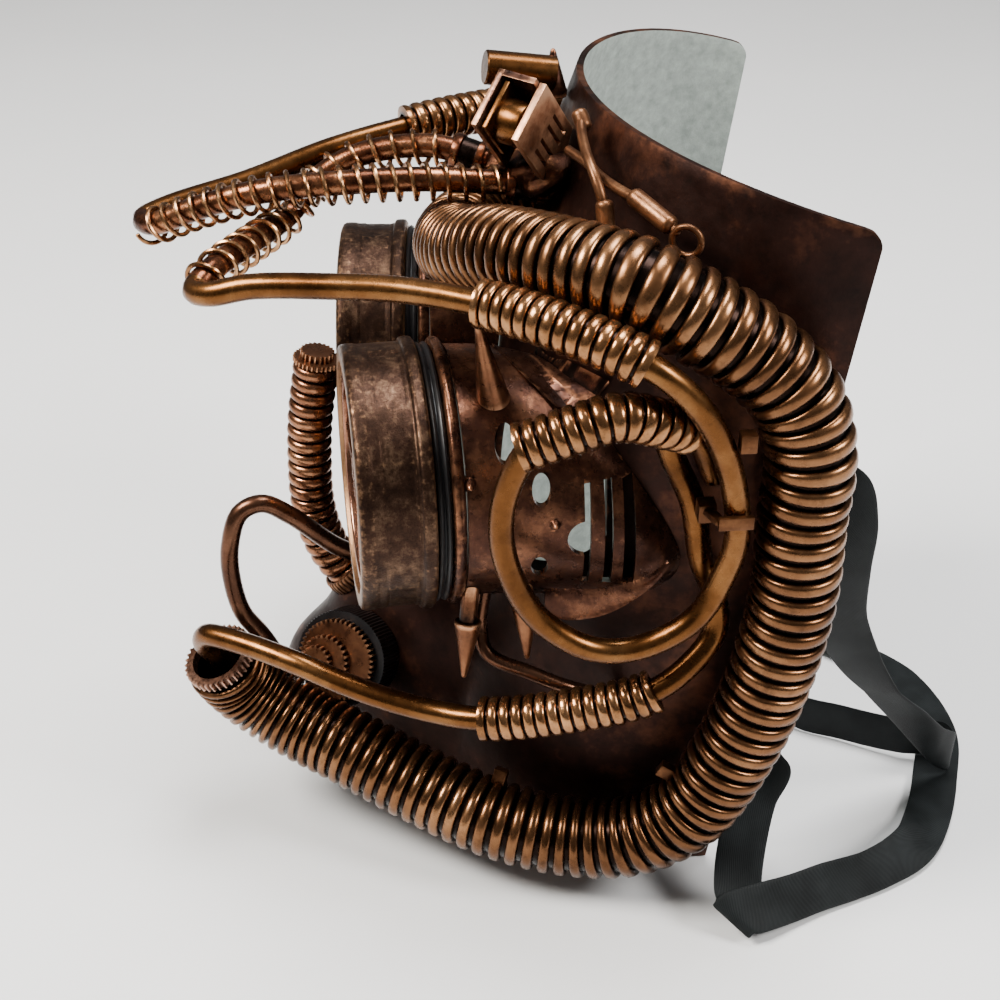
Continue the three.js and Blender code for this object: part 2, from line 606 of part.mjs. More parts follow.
const foreheadSpike = { base: [-10, 17, 228], tip: [-11, 16.5, 242], radius: 4.2 };
add('spike_forehead', surface(solid(cone(foreheadSpike)).subtract(shellFill)), COPPER);
const spikeGrown = solid(cone({ base: [-10, 17, 227], tip: [-11, 16.5, 244], radius: 5 }));
const rodLine = new THREE.LineCurve3(new THREE.Vector3(-6, -4, 238.5), new THREE.Vector3(-8, 16.5, 235.5));
const rod = solid(bendLathe(plainProfile(5, rodLine.getLength(), 40), 10, rodLine));
add('forehead_rod', surface(rod.subtract(shellFill).subtract(spikeGrown).decompose()[0]), GOLD);

// Wires with their crimped ends.
function joined(first, ...others) {
  return surface(others.reduce((sum, g) => sum.add(solid(g)), solid(first)));
}

const FORK_WIRE = [
  [35, 19, 236.5], [40, 18.5, 234.5], [49, 18.5, 232.5], [57, 19.5, 229.5], [61, 21, 225], [62, 22, 221],
];
const RING_WIRE = [[36, 15.5, 228], [44, 19.5, 227.3], [53, 22.3, 226.5], [64, 27.4, 226], [68, 30, 226]];
add('wire_fork', joined(tube(FORK_WIRE, 1.4, 5, 7), tube([[34, 18.6, 237.5], [36.5, 19.6, 234.6]], 2.3, 8, 9),
  tube([[61.8, 22, 222.5], [64.2, 22.4, 215]], 2.5, 8, 12),
  tube([[64, 22.4, 216], [66.2, 22.1, 210.5]], 1.2, 6, 12)), GOLD);
const eyelet = new THREE.TorusGeometry(3.9, 1.1, 5, 10).rotateY(Math.PI / 2).rotateZ(-0.5)
  .translate(81, 40.4, 219.5);
add('wire_ring', joined(tube(RING_WIRE, 1.4, 5, 7), tube([[67, 29, 226.2], [77.6, 36.4, 222.6]], 2.6, 8, 14),
  tube([[77, 36, 222.8], [79.6, 38.2, 221.2]], 1.1, 6, 9), eyelet), COPPER);

const THIN_ROUTE = [
  [67, -9, 112], [69, -12, 94], [73, -10, 86], [78, 2, 82], [80, 14, 77], [77, 26, 71], [66, 38, 65],
];
add('thin_tube', surface(solid(tube(THIN_ROUTE, 2.2, 6, 9)).subtract(shellFill).subtract(cupGrown)
  .subtract(bezelGrown)), BRONZE);

add('cable_tie_upper', block([4, 4.4, 5.4], [105, 54.7, 174]), COPPER);
add('cable_tie_ring', joined(block([5, 5, 5.6], [94.4, 47.6, 147]),
  bar([96, 48, 147.6], [105, 49.6, 149.4], 1.6, 3.6), block([1.6, 9.6, 4], [105.3, 53.4, 149.4])), COPPER);

// Ribbon straps, one row for each bend: middle, and the line across the ribbon there, which lies
// along the crease where the ribbon is folded.
const UPPER_STRAP = [
  { at: [81.4, 73.3, 146], wide: [0, 0, 1] },
  { at: [77, 74.5, 146], wide: [0, 0, 1] },
  { at: [77.6, 83, 146], wide: [0, 0, 1] },
  { at: [81, 90, 142], wide: [0, 0.5, 0.85] },
  { at: [83.5, 92.5, 132], wide: [0, 0.95, 0.3] },
  { at: [84, 92.5, 116], wide: [-0.1, 1, 0.05] },
  { at: [80, 95, 96], wide: [-0.2, 1, 0] },
  { at: [70, 105, 73], wide: [0.4, 0.8, 0.3] },
  { at: [62, 117, 54], wide: [0.7, 0.4, 0.5] },
  { at: [55, 131, 36], wide: [0.55, 0.1, 0.8] },
  { at: [49, 145, 18], wide: [0.3, 0, 0.95] },
  { at: [44, 152, 11.5], wide: [0.05, 0, 1] },
  { at: [37, 151, 10.6], wide: [0, 0, 1] },
  { at: [32.5, 138, 9.4], wide: [0, 0, 1] },
  { at: [22, 120, 8], wide: [0, 0, 1] },
  { at: [12, 104, 8], wide: [0, 0, 1] },
  { at: [-14, 98, 12], wide: [0, 0, 1] },
  { at: [-44, 97, 30], wide: [0.4, 0, 0.9] },
  { at: [-68, 97, 62], wide: [0.5, 0.6, 0.6] },
  { at: [-80, 95, 98], wide: [0.2, 1, 0.1] },
  { at: [-83.5, 92.5, 128], wide: [0, 0.95, 0.3] },
  { at: [-81, 90, 141], wide: [0, 0.5, 0.85] },
  { at: [-77.6, 83, 146], wide: [0, 0, 1] },
  { at: [-77, 74.5, 146], wide: [0, 0, 1] },
  { at: [-81.4, 73.3, 146], wide: [0, 0, 1] },
];
const LOWER_STRAP = [
  { at: [78.6, 60.5, 44], wide: [0, 0, 1] },
  { at: [72.6, 60.9, 44], wide: [0, 0, 1] },
  { at: [73.4, 72, 43.5], wide: [0, 0, 1] },
  { at: [78.5, 76.5, 39], wide: [0.2, 0.6, 0.75] },
  { at: [85, 71.5, 31], wide: [0.1, 1, 0.05] },
  { at: [96, 66.5, 18], wide: [0.09, 1, 0] },
  { at: [108.6, 63.2, 7.6], wide: [0.425, 0.705, -0.567] },
  { at: [111, 61.6, 7.2], wide: [0.425, 0.705, -0.567] },
  { at: [110.8, 63.2, 9], wide: [0.425, 0.705, -0.567] },
  { at: [104.6, 81.8, 8.6], wide: [0.53, 0, -0.85] },
  { at: [100, 93, 8], wide: [0.5, 0, -0.87] },
  { at: [96, 106, 7.8], wide: [0.4, 0, -0.92] },
  { at: [91, 116.5, 7.6], wide: [0.45, 0.2, -0.87] },
  { at: [82, 128, 6], wide: [0.45, 0.6, -0.6] },
  { at: [66, 138, 2.6], wide: [0.2, 0.97, -0.1] },
  { at: [46, 147, 1.2], wide: [0.2, 0.98, 0] },
  { at: [20, 155, 1.2], wide: [0.1, 1, 0] },
  { at: [-10, 150, 1.6], wide: [-0.35, 0.95, 0] },
  { at: [-36, 128, 4.4], wide: [-0.6, 0.7, -0.4] },
  { at: [-56, 102, 9], wide: [-0.35, 0.3, -0.88] },
  { at: [-70, 84, 24], wide: [-0.1, 0, -1] },
  { at: [-73.4, 72, 42], wide: [0, 0, -1] },
  { at: [-72.6, 60.9, 44], wide: [0, 0, -1] },
  { at: [-78.6, 60.5, 44], wide: [0, 0, -1] },
];

function ribbon(rows, steps) {
  const middle = route(rows.map((row) => row.at));
  const width = new THREE.CatmullRomCurve3(rows.map((row) => vec(row.wide)), false, 'catmullrom', 0.3);
  const loops = [];
  for (let i = 0; i <= steps; i += 1) {
    const t = i / steps;
    const at = middle.getPoint(t);
    const along = middle.getTangent(t);
    const wide = width.getPoint(t).normalize();
    const face = along.clone().cross(wide);
    const slant = Math.max(face.length(), 0.7);
    face.setLength(RIBBON_T / 2);
    wide.multiplyScalar(RIBBON_W / 2 / slant);
    loops.push([at.clone().sub(wide).sub(face), at.clone().add(wide).sub(face),
      at.clone().add(wide).add(face), at.clone().sub(wide).add(face)]);
  }
  return loft(loops);
}

add('strap_upper', ribbon(UPPER_STRAP, 2 * (UPPER_STRAP.length - 1)), RIBBON);
add('strap_lower', ribbon(LOWER_STRAP, 2 * (LOWER_STRAP.length - 1)), RIBBON);

export default mask;
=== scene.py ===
import math
import bpy
import numpy as np
from mathutils import Matrix, Vector


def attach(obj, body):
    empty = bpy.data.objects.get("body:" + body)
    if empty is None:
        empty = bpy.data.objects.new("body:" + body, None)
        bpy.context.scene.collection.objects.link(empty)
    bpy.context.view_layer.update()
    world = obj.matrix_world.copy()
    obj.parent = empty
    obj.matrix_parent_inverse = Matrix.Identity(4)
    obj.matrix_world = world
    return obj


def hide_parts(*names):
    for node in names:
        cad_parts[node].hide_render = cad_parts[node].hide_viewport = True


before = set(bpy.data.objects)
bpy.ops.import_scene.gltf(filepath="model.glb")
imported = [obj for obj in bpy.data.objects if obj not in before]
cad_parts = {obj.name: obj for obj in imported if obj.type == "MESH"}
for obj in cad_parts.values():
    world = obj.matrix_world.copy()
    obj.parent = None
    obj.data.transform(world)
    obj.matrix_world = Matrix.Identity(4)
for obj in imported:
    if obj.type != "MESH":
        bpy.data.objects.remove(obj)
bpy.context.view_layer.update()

# Millimetres in the tables below. +X is the wearer's left, -Y the front, +Z up. The middle of the
# lower rim at the chin is the row's origin, so every point moves by CHIN_Y when a mesh is made.
MM = 0.001
CHIN_Y = -39.0
RIM_HEIGHT, RIM_DROP, RIM_REACH, RIM_CORNER = 239.0, 18.8, 102.0, 4.0
WALL, SEAT = 2.0, 0.5
BACK_LOW, BACK_LEAN = 61.0, 30.0
EYE = np.array([46.0, -49.0, 133.0])
EYE_TOE = math.radians(4.5)
EYE_HOLE, EYE_SEGMENTS, EYE_START, EYE_LENGTH = 30.0, 144, 20.0, 100.0
HOSE_R, HOSE_GROOVE, HOSE_BORE, HOSE_SIDES = 12.6, 10.6, 8.8, 36
TUBE_R, TUBE_SIDES, TUBE_STEP = 3.55, 24, 1.5
SLEEVE_R, SLEEVE_GROOVE, SLEEVE_BORE, SLEEVE_PITCH, SLEEVE_SIDES = 6.7, 5.3, 4.2, 3.65, 32
SPRING_R, SPRING_WIRE, SPRING_HANG, SPRING_POINTS = 5.1, 0.72, 0.7, 28
RIBBON_W, RIBBON_T = 15.0, 0.9
RIB_SHARP, LEAST_R, WEAR_GAIN = 60, 0.02, 1.6
UP = np.array([0.0, 0.0, 1.0])


# Curves

def unit(v):
    v = np.asarray(v, float)
    return v / np.linalg.norm(v, axis=-1, keepdims=True)


def spline(rows, per=24):
    """Centripetal curve through the rows, as a fine line of points."""
    p = np.asarray(rows, float)
    n = len(p)
    out = []
    for i in range(n - 1):
        p1, p2 = p[i], p[i + 1]
        p0 = p[i - 1] if i > 0 else 2 * p1 - p2
        p3 = p[i + 2] if i + 2 < n else 2 * p2 - p1
        d0, d1, d2 = (math.sqrt(np.linalg.norm(b - a)) for a, b in ((p0, p1), (p1, p2), (p2, p3)))
        t1 = ((p1 - p0) / d0 - (p2 - p0) / (d0 + d1) + (p2 - p1) / d1) * d1
        t2 = ((p2 - p1) / d1 - (p3 - p1) / (d1 + d2) + (p3 - p2) / d2) * d1
        for k in range(per):
            t = k / per
            out.append(p1 + t1 * t + (3 * (p2 - p1) - 2 * t1 - t2) * t * t
                       + (2 * (p1 - p2) + t1 + t2) * t ** 3)
    out.append(p[-1])
    return np.array(out)


class Line:
    """A route with its length, and a frame at any station that doesn't twist."""

    def __init__(self, rows, fine=True):
        self.points = spline(rows) if fine else np.asarray(rows, float)
        steps = np.linalg.norm(np.diff(self.points, axis=0), axis=1)
        self.stations = np.concatenate([[0], np.cumsum(steps)])
        self.length = self.stations[-1]
        self.along = unit(np.gradient(self.points, self.stations, axis=0))
        helper = UP if abs(self.along[0][2]) < 0.9 else np.array([1.0, 0, 0])
        side = np.cross(helper, self.along[0])
        sides = []
        for a in self.along:
            side = unit(side - a * np.dot(side, a))
            sides.append(side)
        self.side = np.array(sides)

    def at(self, s):
        s = np.asarray(s, float)
        pick = [np.interp(s, self.stations, c) for c in self.points.T]
        along = unit(np.stack([np.interp(s, self.stations, c) for c in self.along.T], -1))
        side = np.stack([np.interp(s, self.stations, c) for c in self.side.T], -1)
        side = unit(side - along * np.sum(side * along, -1, keepdims=True))
        over = np.where(s < 0, s, np.where(s > self.length, s - self.length, 0))
        return np.stack(pick, -1) + along * over[..., None], along, side, np.cross(along, side)

    def nearest(self, point):
        away = np.linalg.norm(self.points - np.asarray(point, float), axis=1)
        return self.stations[np.argmin(away)]


# Meshes, each as points in millimetres, faces, and a wear value from 0 in hollows to 1 on crests

def grid_faces(rows, cols, closed=True, base=0):
    i, j = np.meshgrid(np.arange(rows - 1), np.arange(cols if closed else cols - 1), indexing="ij")
    k = (j + 1) % cols
    quads = np.stack([i * cols + j, i * cols + k, (i + 1) * cols + k, (i + 1) * cols + j], -1)
    return (quads.reshape(-1, 4) + base).tolist()


def ends(rows, cols):
    return [list(range(cols))[::-1], list(range((rows - 1) * cols, rows * cols))]


def seam(rows, cols):
    """Faces between the last row and the first."""
    last = (rows - 1) * cols
    return [[last + j, last + (j + 1) % cols, (j + 1) % cols, j] for j in range(cols)]


def loft(sections):
    """A body through closed loops of points, with a face at each end."""
    return sections.reshape(-1, 3), grid_faces(*sections.shape[:2]) + ends(*sections.shape[:2]), None


def bend_lathe(profile, sides, line, wear=None):
    """A turned profile of [radius, station] rows, bent along a line. Rows of radius 0 close it."""
    r, s = np.array(profile, float).T
    at, _, side, up = line.at(s)
    a = np.arange(sides) / sides * 2 * math.pi
    ring = np.cos(a)[None, :, None] * side[:, None, :] + np.sin(a)[None, :, None] * up[:, None, :]
    points, faces, _ = loft(at[:, None, :] + np.maximum(r, LEAST_R)[:, None, None] * ring)
    return points, faces, None if wear is None else np.repeat(np.asarray(wear, float), sides)


def closed_lathe(profile, sides, line, wear=None):
    """The same for a profile that closes on itself, such as a ring."""
    points, faces, values = bend_lathe(profile, sides, line, wear)
    return points, faces[:-2] + seam(len(profile), sides), values


RIB_TURNS = np.array([-1, -0.97, -0.88, -0.7, -0.4, 0, 0.4, 0.7, 0.88, 0.97, 1])


def ribs(crest, groove, start, end, pitch, square=2.4, lobe=0.64, cut=0.0):
    """Rounded ribs with narrower grooves. The pitch is one length, or rows of [station, length].

    A cut above 0 leaves that share off both end ribs, so that they end flat.
    """
    table = np.array(pitch if np.ndim(pitch) else [[0, pitch], [1, pitch]], float)
    edges = [0.0]
    while edges[-1] < end - start:
        edges.append(edges[-1] + np.interp(start + edges[-1], table[:, 0], table[:, 1]))
    edges = np.array(edges)
    low, high = cut * edges[1], edges[-1] - cut * (edges[-1] - edges[-2])
    edges = start + (edges - low) / (high - low) * (end - start)
    heights = np.maximum(0, 1 - np.abs(RIB_TURNS) ** square) ** (1 / square)
    rows, wear = [], []
    for a, b in zip(edges[:-1], edges[1:]):
        for phase, height in [(0.0, 0.0), *zip(0.5 + RIB_TURNS * lobe / 2, heights)]:
            station = a + (b - a) * phase
            if start <= station <= end:
                rows.append([groove + (crest - groove) * height, station])
                wear.append(height)
    if not cut:
        rows.append([groove, end])
        wear.append(0.0)
    return rows, wear


# Shares of a tube's radius, across and along, at its rounded ends
ROUND_END = ((0.0, 0.5), (0.5, 0.46), (0.82, 0.3))


def round_tube(line, radius, sides=TUBE_SIDES, step=TUBE_STEP):
    count = max(3, round(line.length / step))
    rows = [[radius * c, -radius * e] for c, e in ROUND_END]
    rows += [[radius, line.length * i / count] for i in range(count + 1)]
    rows += [[radius * c, line.length + radius * e] for c, e in ROUND_END[::-1]]
    return bend_lathe(rows, sides, line)


def outward(part):
    """The part with its faces turned to the outside."""
    points, faces, wear = part
    quads = np.array([f for f in faces if len(f) == 4], int).reshape(-1, 4)
    triangles = [quads[:, [0, 1, 2]], quads[:, [0, 2, 3]]]
    triangles += [np.array([[f[0], f[i], f[i + 1]] for i in range(1, len(f) - 1)])
                  for f in faces if len(f) != 4]
    volume = sum(np.sum(points[t[:, 0]] * np.cross(points[t[:, 1]], points[t[:, 2]])) for t in triangles)
    return part if volume > 0 else (points, [f[::-1] for f in faces], wear)


def join(*parts):
    points, faces, wear, base = [], [], [], 0
    for p, f, w in map(outward, parts):
        points.append(p)
        faces += [[i + base for i in face] for face in f]
        wear.append(np.full(len(p), np.nan) if w is None else np.asarray(w, float))
        base += len(p)
    values = np.concatenate(wear)
    values = None if np.isnan(values).all() else np.nan_to_num(values, nan=0.5)
    return np.concatenate(points), faces, values


def box(size, at, turn=None):
    h = np.asarray(size, float) / 2
    corners = np.array([[x, y, z] for x in (-1, 1) for y in (-1, 1) for z in (-1, 1)]) * h
    if turn is not None:
        corners = corners @ np.asarray(turn, float)
    faces = [[0, 1, 3, 2], [4, 6, 7, 5], [0, 4, 5, 1], [2, 3, 7, 6], [0, 2, 6, 4], [1, 5, 7, 3]]
    return corners + np.asarray(at, float), faces, None


def bar(start, end, width, depth):
    a, b = np.asarray(start, float), np.asarray(end, float)
    turn = Vector((0, 0, 1)).rotation_difference(Vector(unit(b - a))).to_matrix()
    return box([width, depth, np.linalg.norm(b - a)], (a + b) / 2, np.array(turn).T)


def mirror(part):
    p, f, w = part
    return p * (-1, 1, 1), [face[::-1] for face in f], w


def in_tables(point):
    """A mesh's point in the millimetres of the tables."""
    return np.array(point) / MM + (0, CHIN_Y, 0)


def make_mesh(name, part):
    points, faces, _ = outward(part)
    mesh = bpy.data.meshes.new(name)
    mesh.from_pydata(((points - (0, CHIN_Y, 0)) * MM).tolist(), [], faces)
    mesh.update()
    return mesh


def keep_result(obj):
    """Makes what the piece's modifiers give its plain mesh."""
    graph = bpy.context.evaluated_depsgraph_get()
    old, obj.data = obj.data, bpy.data.meshes.new_from_object(obj.evaluated_get(graph))
    obj.modifiers.clear()
    bpy.data.meshes.remove(old)


def combine(obj, others, operation):
    for other in others:
        m = obj.modifiers.new("combine", "BOOLEAN")
        m.operation, m.solver, m.object = operation, "EXACT", other
    keep_result(obj)


def discard(*objects):
    for obj in objects:
        bpy.data.objects.remove(obj)


def carve(obj, cutters):
    """Cuts the other bodies out of the piece."""
    combine(obj, cutters, "DIFFERENCE")


def unite(obj, other):
    """Adds the other body to the piece and takes it away."""
    combine(obj, [other], "UNION")
    discard(other)


def bevel(obj, width, angle=35):
    m = obj.modifiers.new("edge", "BEVEL")
    m.width, m.segments = width * MM, 2
    m.limit_method, m.angle_limit = "ANGLE", math.radians(angle)
    keep_result(obj)


def loose(name, part):
    obj = bpy.data.objects.new(name, make_mesh(name, part))
    bpy.context.scene.collection.objects.link(obj)
    return obj


def read(items, key, width, kind=float):
    values = np.empty(len(items) * width, kind)
    items.foreach_get(key, values)
    return values.reshape(-1, width)


def measured_wear(mesh):
    """Convex edges towards 1 and hollows towards 0, from each point's neighbours."""
    n = len(mesh.vertices)
    co, normal = read(mesh.vertices, "co", 3), read(mesh.vertices, "normal", 3)
    e = read(mesh.edges, "vertices", 2, int)
    total, count, length = np.zeros((n, 3)), np.zeros(n), np.zeros(n)
    d = np.linalg.norm(co[e[:, 0]] - co[e[:, 1]], axis=1)
    for a, b in ((0, 1), (1, 0)):
        np.add.at(total, e[:, a], co[e[:, b]])
        np.add.at(count, e[:, a], 1)
        np.add.at(length, e[:, a], d)
    count = np.maximum(count, 1)
    rise = np.sum((co - total / count[:, None]) * normal, axis=1)
    return np.clip(0.5 + WEAR_GAIN * rise / np.maximum(length / count, 1e-6), 0, 1)


def keep_wear(mesh, values):
    attribute = mesh.attributes.new("wear", "FLOAT", "POINT")
    attribute.data.foreach_set("value", np.asarray(values, np.float32))


def finish_piece(obj, material, node=None, sharp=40, more=()):
    mesh = obj.data
    mesh.materials.clear()
    for m in (material, *more):
        mesh.materials.append(m)
    mesh.polygons.foreach_set("use_smooth", np.ones(len(mesh.polygons), bool))
    mesh.set_sharp_from_angle(angle=math.radians(sharp))
    if "wear" not in mesh.attributes:
        keep_wear(mesh, measured_wear(mesh))
    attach(obj, "root")
    if node:
        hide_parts(node)
    return obj


def piece(node, part, material, sharp=40, replaced=True, edge=None, cutters=()):
    """One piece of the mask, cut where it meets another body, with its edges softened."""
    obj = loose(f"{node}_form", part)
    if part[2] is not None:
        keep_wear(obj.data, part[2])
    if cutters:
        carve(obj, cutters)
    if edge:
        bevel(obj, edge)
    return finish_piece(obj, material, node if replaced else None, sharp)


# Materials

class Surface:
    def __init__(self, name):
        self.material = bpy.data.materials.new(name)
        self.material.use_nodes = True
        self.tree = self.material.node_tree
        self.shader = self.tree.nodes["Principled BSDF"]
        self.place = self.node("ShaderNodeTexCoord").outputs["Object"]

    def node(self, kind, inputs=None, **values):
        n = self.tree.nodes.new(kind)
        for key, value in values.items():
            setattr(n, key, value)
        for key, value in (inputs or {}).items():
            self.put(n.inputs[key], value)
        return n

    def put(self, socket, value):
        if isinstance(value, bpy.types.NodeSocket):
            self.tree.links.new(value, socket)
        else:
            socket.default_value = value

    def noise(self, scale, detail=5.0, rough=0.6):
        inputs = {"Vector": self.place, "Scale": scale, "Detail": detail, "Roughness": rough}
        return self.node("ShaderNodeTexNoise", inputs).outputs["Fac"]

    def ramp(self, value, stops):
        stops = list(stops)
        n = self.node("ShaderNodeValToRGB", {"Fac": value})
        band = n.color_ramp
        while len(band.elements) < len(stops):
            band.elements.new(0.5)
        for e, (at, colour) in zip(band.elements, stops):
            e.position = at
            e.color = (*colour, 1)
        return n.outputs["Color"]

    def span(self, value, low, high, to_low, to_high):
        inputs = {"Value": value, "From Min": low, "From Max": high, "To Min": to_low, "To Max": to_high}
        return self.node("ShaderNodeMapRange", inputs).outputs["Result"]

    def mix(self, factor, a, b):
        return self.node("ShaderNodeMix", {0: factor, 6: a, 7: (*b, 1)}, data_type="RGBA").outputs[2]

    def math(self, operation, a, b):
        return self.node("ShaderNodeMath", {0: a, 1: b}, operation=operation).outputs[0]

    def attribute(self, name):
        return self.node("ShaderNodeAttribute", attribute_name=name).outputs["Fac"]

    def bump(self, height, strength, distance):
        n = self.node("ShaderNodeBump", {"Strength": strength, "Distance": distance, "Height": height})
        self.put(self.shader.inputs["Normal"], n.outputs["Normal"])

    def set(self, **values):
        for key, value in values.items():
            self.put(self.shader.inputs[key.replace("_", " ")], value)


BROWN_BLACK = (0.007, 0.0035, 0.0025)
NOISE_RANGE, PATCH_STOPS, SPECK_RANGE = (0.3, 0.7), (0.3, 0.5, 0.72), (0.52, 0.72)
WORN_RANGE, WORN_SHARE, UNEVEN = (0.62, 0.95), 0.85, 0.12


def paint(name, dark, mid, light, scale, metal, rough, spots, hollows=(0.15, 0.55), worn=None,
          groove=BROWN_BLACK, bump=0.12, specular=0.3, grain=0.62):
    """Metallic paint: patchy colour, dark in the hollows, rubbed bright on edges, with small specks."""
    s = Surface(name)
    patch = s.noise(scale, 6, grain)
    colour = s.ramp(patch, zip(PATCH_STOPS, (dark, mid, light)))
    colour = s.mix(s.span(s.noise(scale * 9, 4, 0.7), *SPECK_RANGE, 0.0, spots), colour, groove)
    wear = s.attribute("wear")
    uneven = s.math("ADD", wear, s.span(s.noise(scale * 4, 4, 0.6), *NOISE_RANGE, -UNEVEN, UNEVEN))
    colour = s.mix(s.span(uneven, *hollows, 1.0, 0.0), colour, groove)
    if worn:
        colour = s.mix(s.span(uneven, *WORN_RANGE, 0.0, WORN_SHARE), colour, worn)
    gloss = s.span(s.noise(scale * 5, 5, 0.65), *NOISE_RANGE, *rough)
    s.set(Base_Color=colour, Roughness=gloss, Metallic=metal, Specular_IOR_Level=specular)
    s.bump(s.math("ADD", s.noise(scale * 14, 3, 0.6), patch), bump, 0.0004)
    return s.material


def plain(name, dark, light, scale=120, metal=0.0, rough=(0.35, 0.6), bump=0.1, specular=0.5):
    s = Surface(name)
    colour = s.ramp(s.noise(scale, 6, 0.65), [(0.32, dark), (0.68, light)])
    s.set(Base_Color=colour, Roughness=s.span(s.noise(scale * 3), *NOISE_RANGE, *rough),
          Metallic=metal, Specular_IOR_Level=specular)
    s.bump(s.noise(scale * 6, 4, 0.6), bump, 0.0003)
    return s.material


gold = paint("antique_gold", (0.05, 0.0185, 0.0055), (0.105, 0.041, 0.012), (0.2, 0.092, 0.032), 42, 0.97,
             (0.22, 0.33), 0.22, (0.1, 0.4), bump=0.05)
gold_rib = paint("gold_ribs", (0.1, 0.043, 0.016), (0.26, 0.12, 0.049), (0.48, 0.25, 0.115), 80, 0.95,
                 (0.15, 0.3), 0.45, (0.1, 0.5))
bronze_rib = paint("bronze_ribs", (0.068, 0.028, 0.0115), (0.14, 0.062, 0.0265), (0.28, 0.138, 0.063), 28,
                   0.95, (0.19, 0.35), 0.45, (0.2, 0.75))
front_rib = paint("front_ribs", (0.1, 0.038, 0.018), (0.22, 0.092, 0.046), (0.38, 0.18, 0.09), 60, 0.95,
                  (0.19, 0.34), 0.4, (0.1, 0.6))
bronze = paint("bronze", (0.055, 0.021, 0.01), (0.14, 0.056, 0.026), (0.27, 0.12, 0.056), 60, 0.88,
               (0.24, 0.42), 0.5, (0.1, 0.45), worn=(0.46, 0.23, 0.12))
copper = paint("mottled_copper", (0.011, 0.0055, 0.0038), (0.036, 0.0175, 0.0105), (0.13, 0.076, 0.045),
               150, 0.88, (0.28, 0.5), 0.65, (0.1, 0.42), worn=(0.34, 0.18, 0.09), bump=0.3, grain=0.76)
cup_copper = paint("cup_copper", (0.014, 0.005, 0.0035), (0.05, 0.019, 0.011), (0.18, 0.075, 0.038), 60,
                   0.85, (0.2, 0.42), 0.55, (0.12, 0.42), worn=(0.42, 0.18, 0.09), bump=0.2, grain=0.7)
arm_copper = paint("arm_copper", (0.035, 0.011, 0.006), (0.12, 0.043, 0.02), (0.34, 0.15, 0.07), 95, 0.95,
                   (0.18, 0.36), 0.65, (0.1, 0.45))
ring_copper = paint("ring_copper", (0.16, 0.065, 0.04), (0.28, 0.13, 0.08), (0.44, 0.25, 0.17), 60, 0.95,
                    (0.16, 0.3), 0.3, groove=(0.05, 0.02, 0.015))
shell_paint = paint("shell_paint", (0.007, 0.003, 0.0022), (0.02, 0.0075, 0.005), (0.1, 0.035, 0.017), 26,
                    0.75, (0.34, 0.54), 0.7, (0.05, 0.35), worn=(0.22, 0.085, 0.042), bump=0.25,
                    specular=0.22, grain=0.7)
block_paint = paint("block_paint", (0.02, 0.008, 0.005), (0.06, 0.026, 0.016), (0.17, 0.085, 0.052), 90,
                    0.85, (0.22, 0.45), 0.5, worn=(0.42, 0.21, 0.12))
plate_copper = paint("plate_copper", (0.24, 0.095, 0.048), (0.42, 0.19, 0.1), (0.55, 0.28, 0.155), 90, 0.8,
                     (0.3, 0.48), 0.4, worn=(0.6, 0.33, 0.19), groove=(0.03, 0.011, 0.006))
tie_copper = paint("tie_copper", (0.035, 0.013, 0.005), (0.075, 0.029, 0.011), (0.15, 0.064, 0.026), 110,
                   0.88, (0.26, 0.46), 0.4, groove=(0.02, 0.008, 0.005))
tube_bronze = paint("tube_bronze", (0.04, 0.018, 0.011), (0.078, 0.034, 0.019), (0.14, 0.066, 0.038), 42,
                    0.92, (0.22, 0.34), 0.25, (0.1, 0.4), bump=0.06)
wire_copper = paint("wire_copper", (0.05, 0.02, 0.009), (0.11, 0.046, 0.02), (0.22, 0.1, 0.045), 120, 0.85,
                    (0.28, 0.46), 0.4, groove=(0.02, 0.009, 0.005))
spring_wire = paint("spring_wire", (0.16, 0.07, 0.03), (0.32, 0.16, 0.072), (0.52, 0.3, 0.15), 60, 1.0,
                    (0.2, 0.32), 0.1, bump=0.02)
crown_copper = paint("crown_copper", (0.08, 0.034, 0.02), (0.18, 0.088, 0.055), (0.34, 0.2, 0.14), 90, 0.92,
                     (0.2, 0.38), 0.4, worn=(0.5, 0.3, 0.22))
glue = paint("dark_glue", (0.008, 0.004, 0.003), (0.03, 0.011, 0.006), (0.16, 0.065, 0.03), 150, 0.95,
             (0.1, 0.3), 0.7, bump=0.8)
black = plain("black_rubber", (0.003, 0.003, 0.0035), (0.008, 0.007, 0.0075), scale=90, rough=(0.26, 0.46),
              specular=0.25)
lining = plain("bare_inside", (0.19, 0.22, 0.2), (0.31, 0.35, 0.32), scale=260, metal=0.1,
               rough=(0.5, 0.75), bump=0.25)
lens_gold = plain("lens_gold", (0.22, 0.11, 0.03), (0.38, 0.21, 0.065), scale=40, metal=0.8,
                  rough=(0.16, 0.3), bump=0.02)


def ribbon_cloth():
    s = Surface("ribbon")
    wave = s.node("ShaderNodeTexWave", {"Vector": s.place, "Scale": 900.0, "Distortion": 0.4},
                  wave_type="BANDS", bands_direction="DIAGONAL")
    colour = s.ramp(s.noise(70, 4, 0.6), [(0.35, (0.003, 0.004, 0.0042)), (0.7, (0.009, 0.011, 0.0115))])
    s.set(Base_Color=colour, Roughness=s.span(wave.outputs["Fac"], 0, 1, 0.5, 0.7), Specular_IOR_Level=0.14)
    s.bump(wave.outputs["Fac"], 0.25, 0.0002)
    return s.material


ribbon_black = ribbon_cloth()


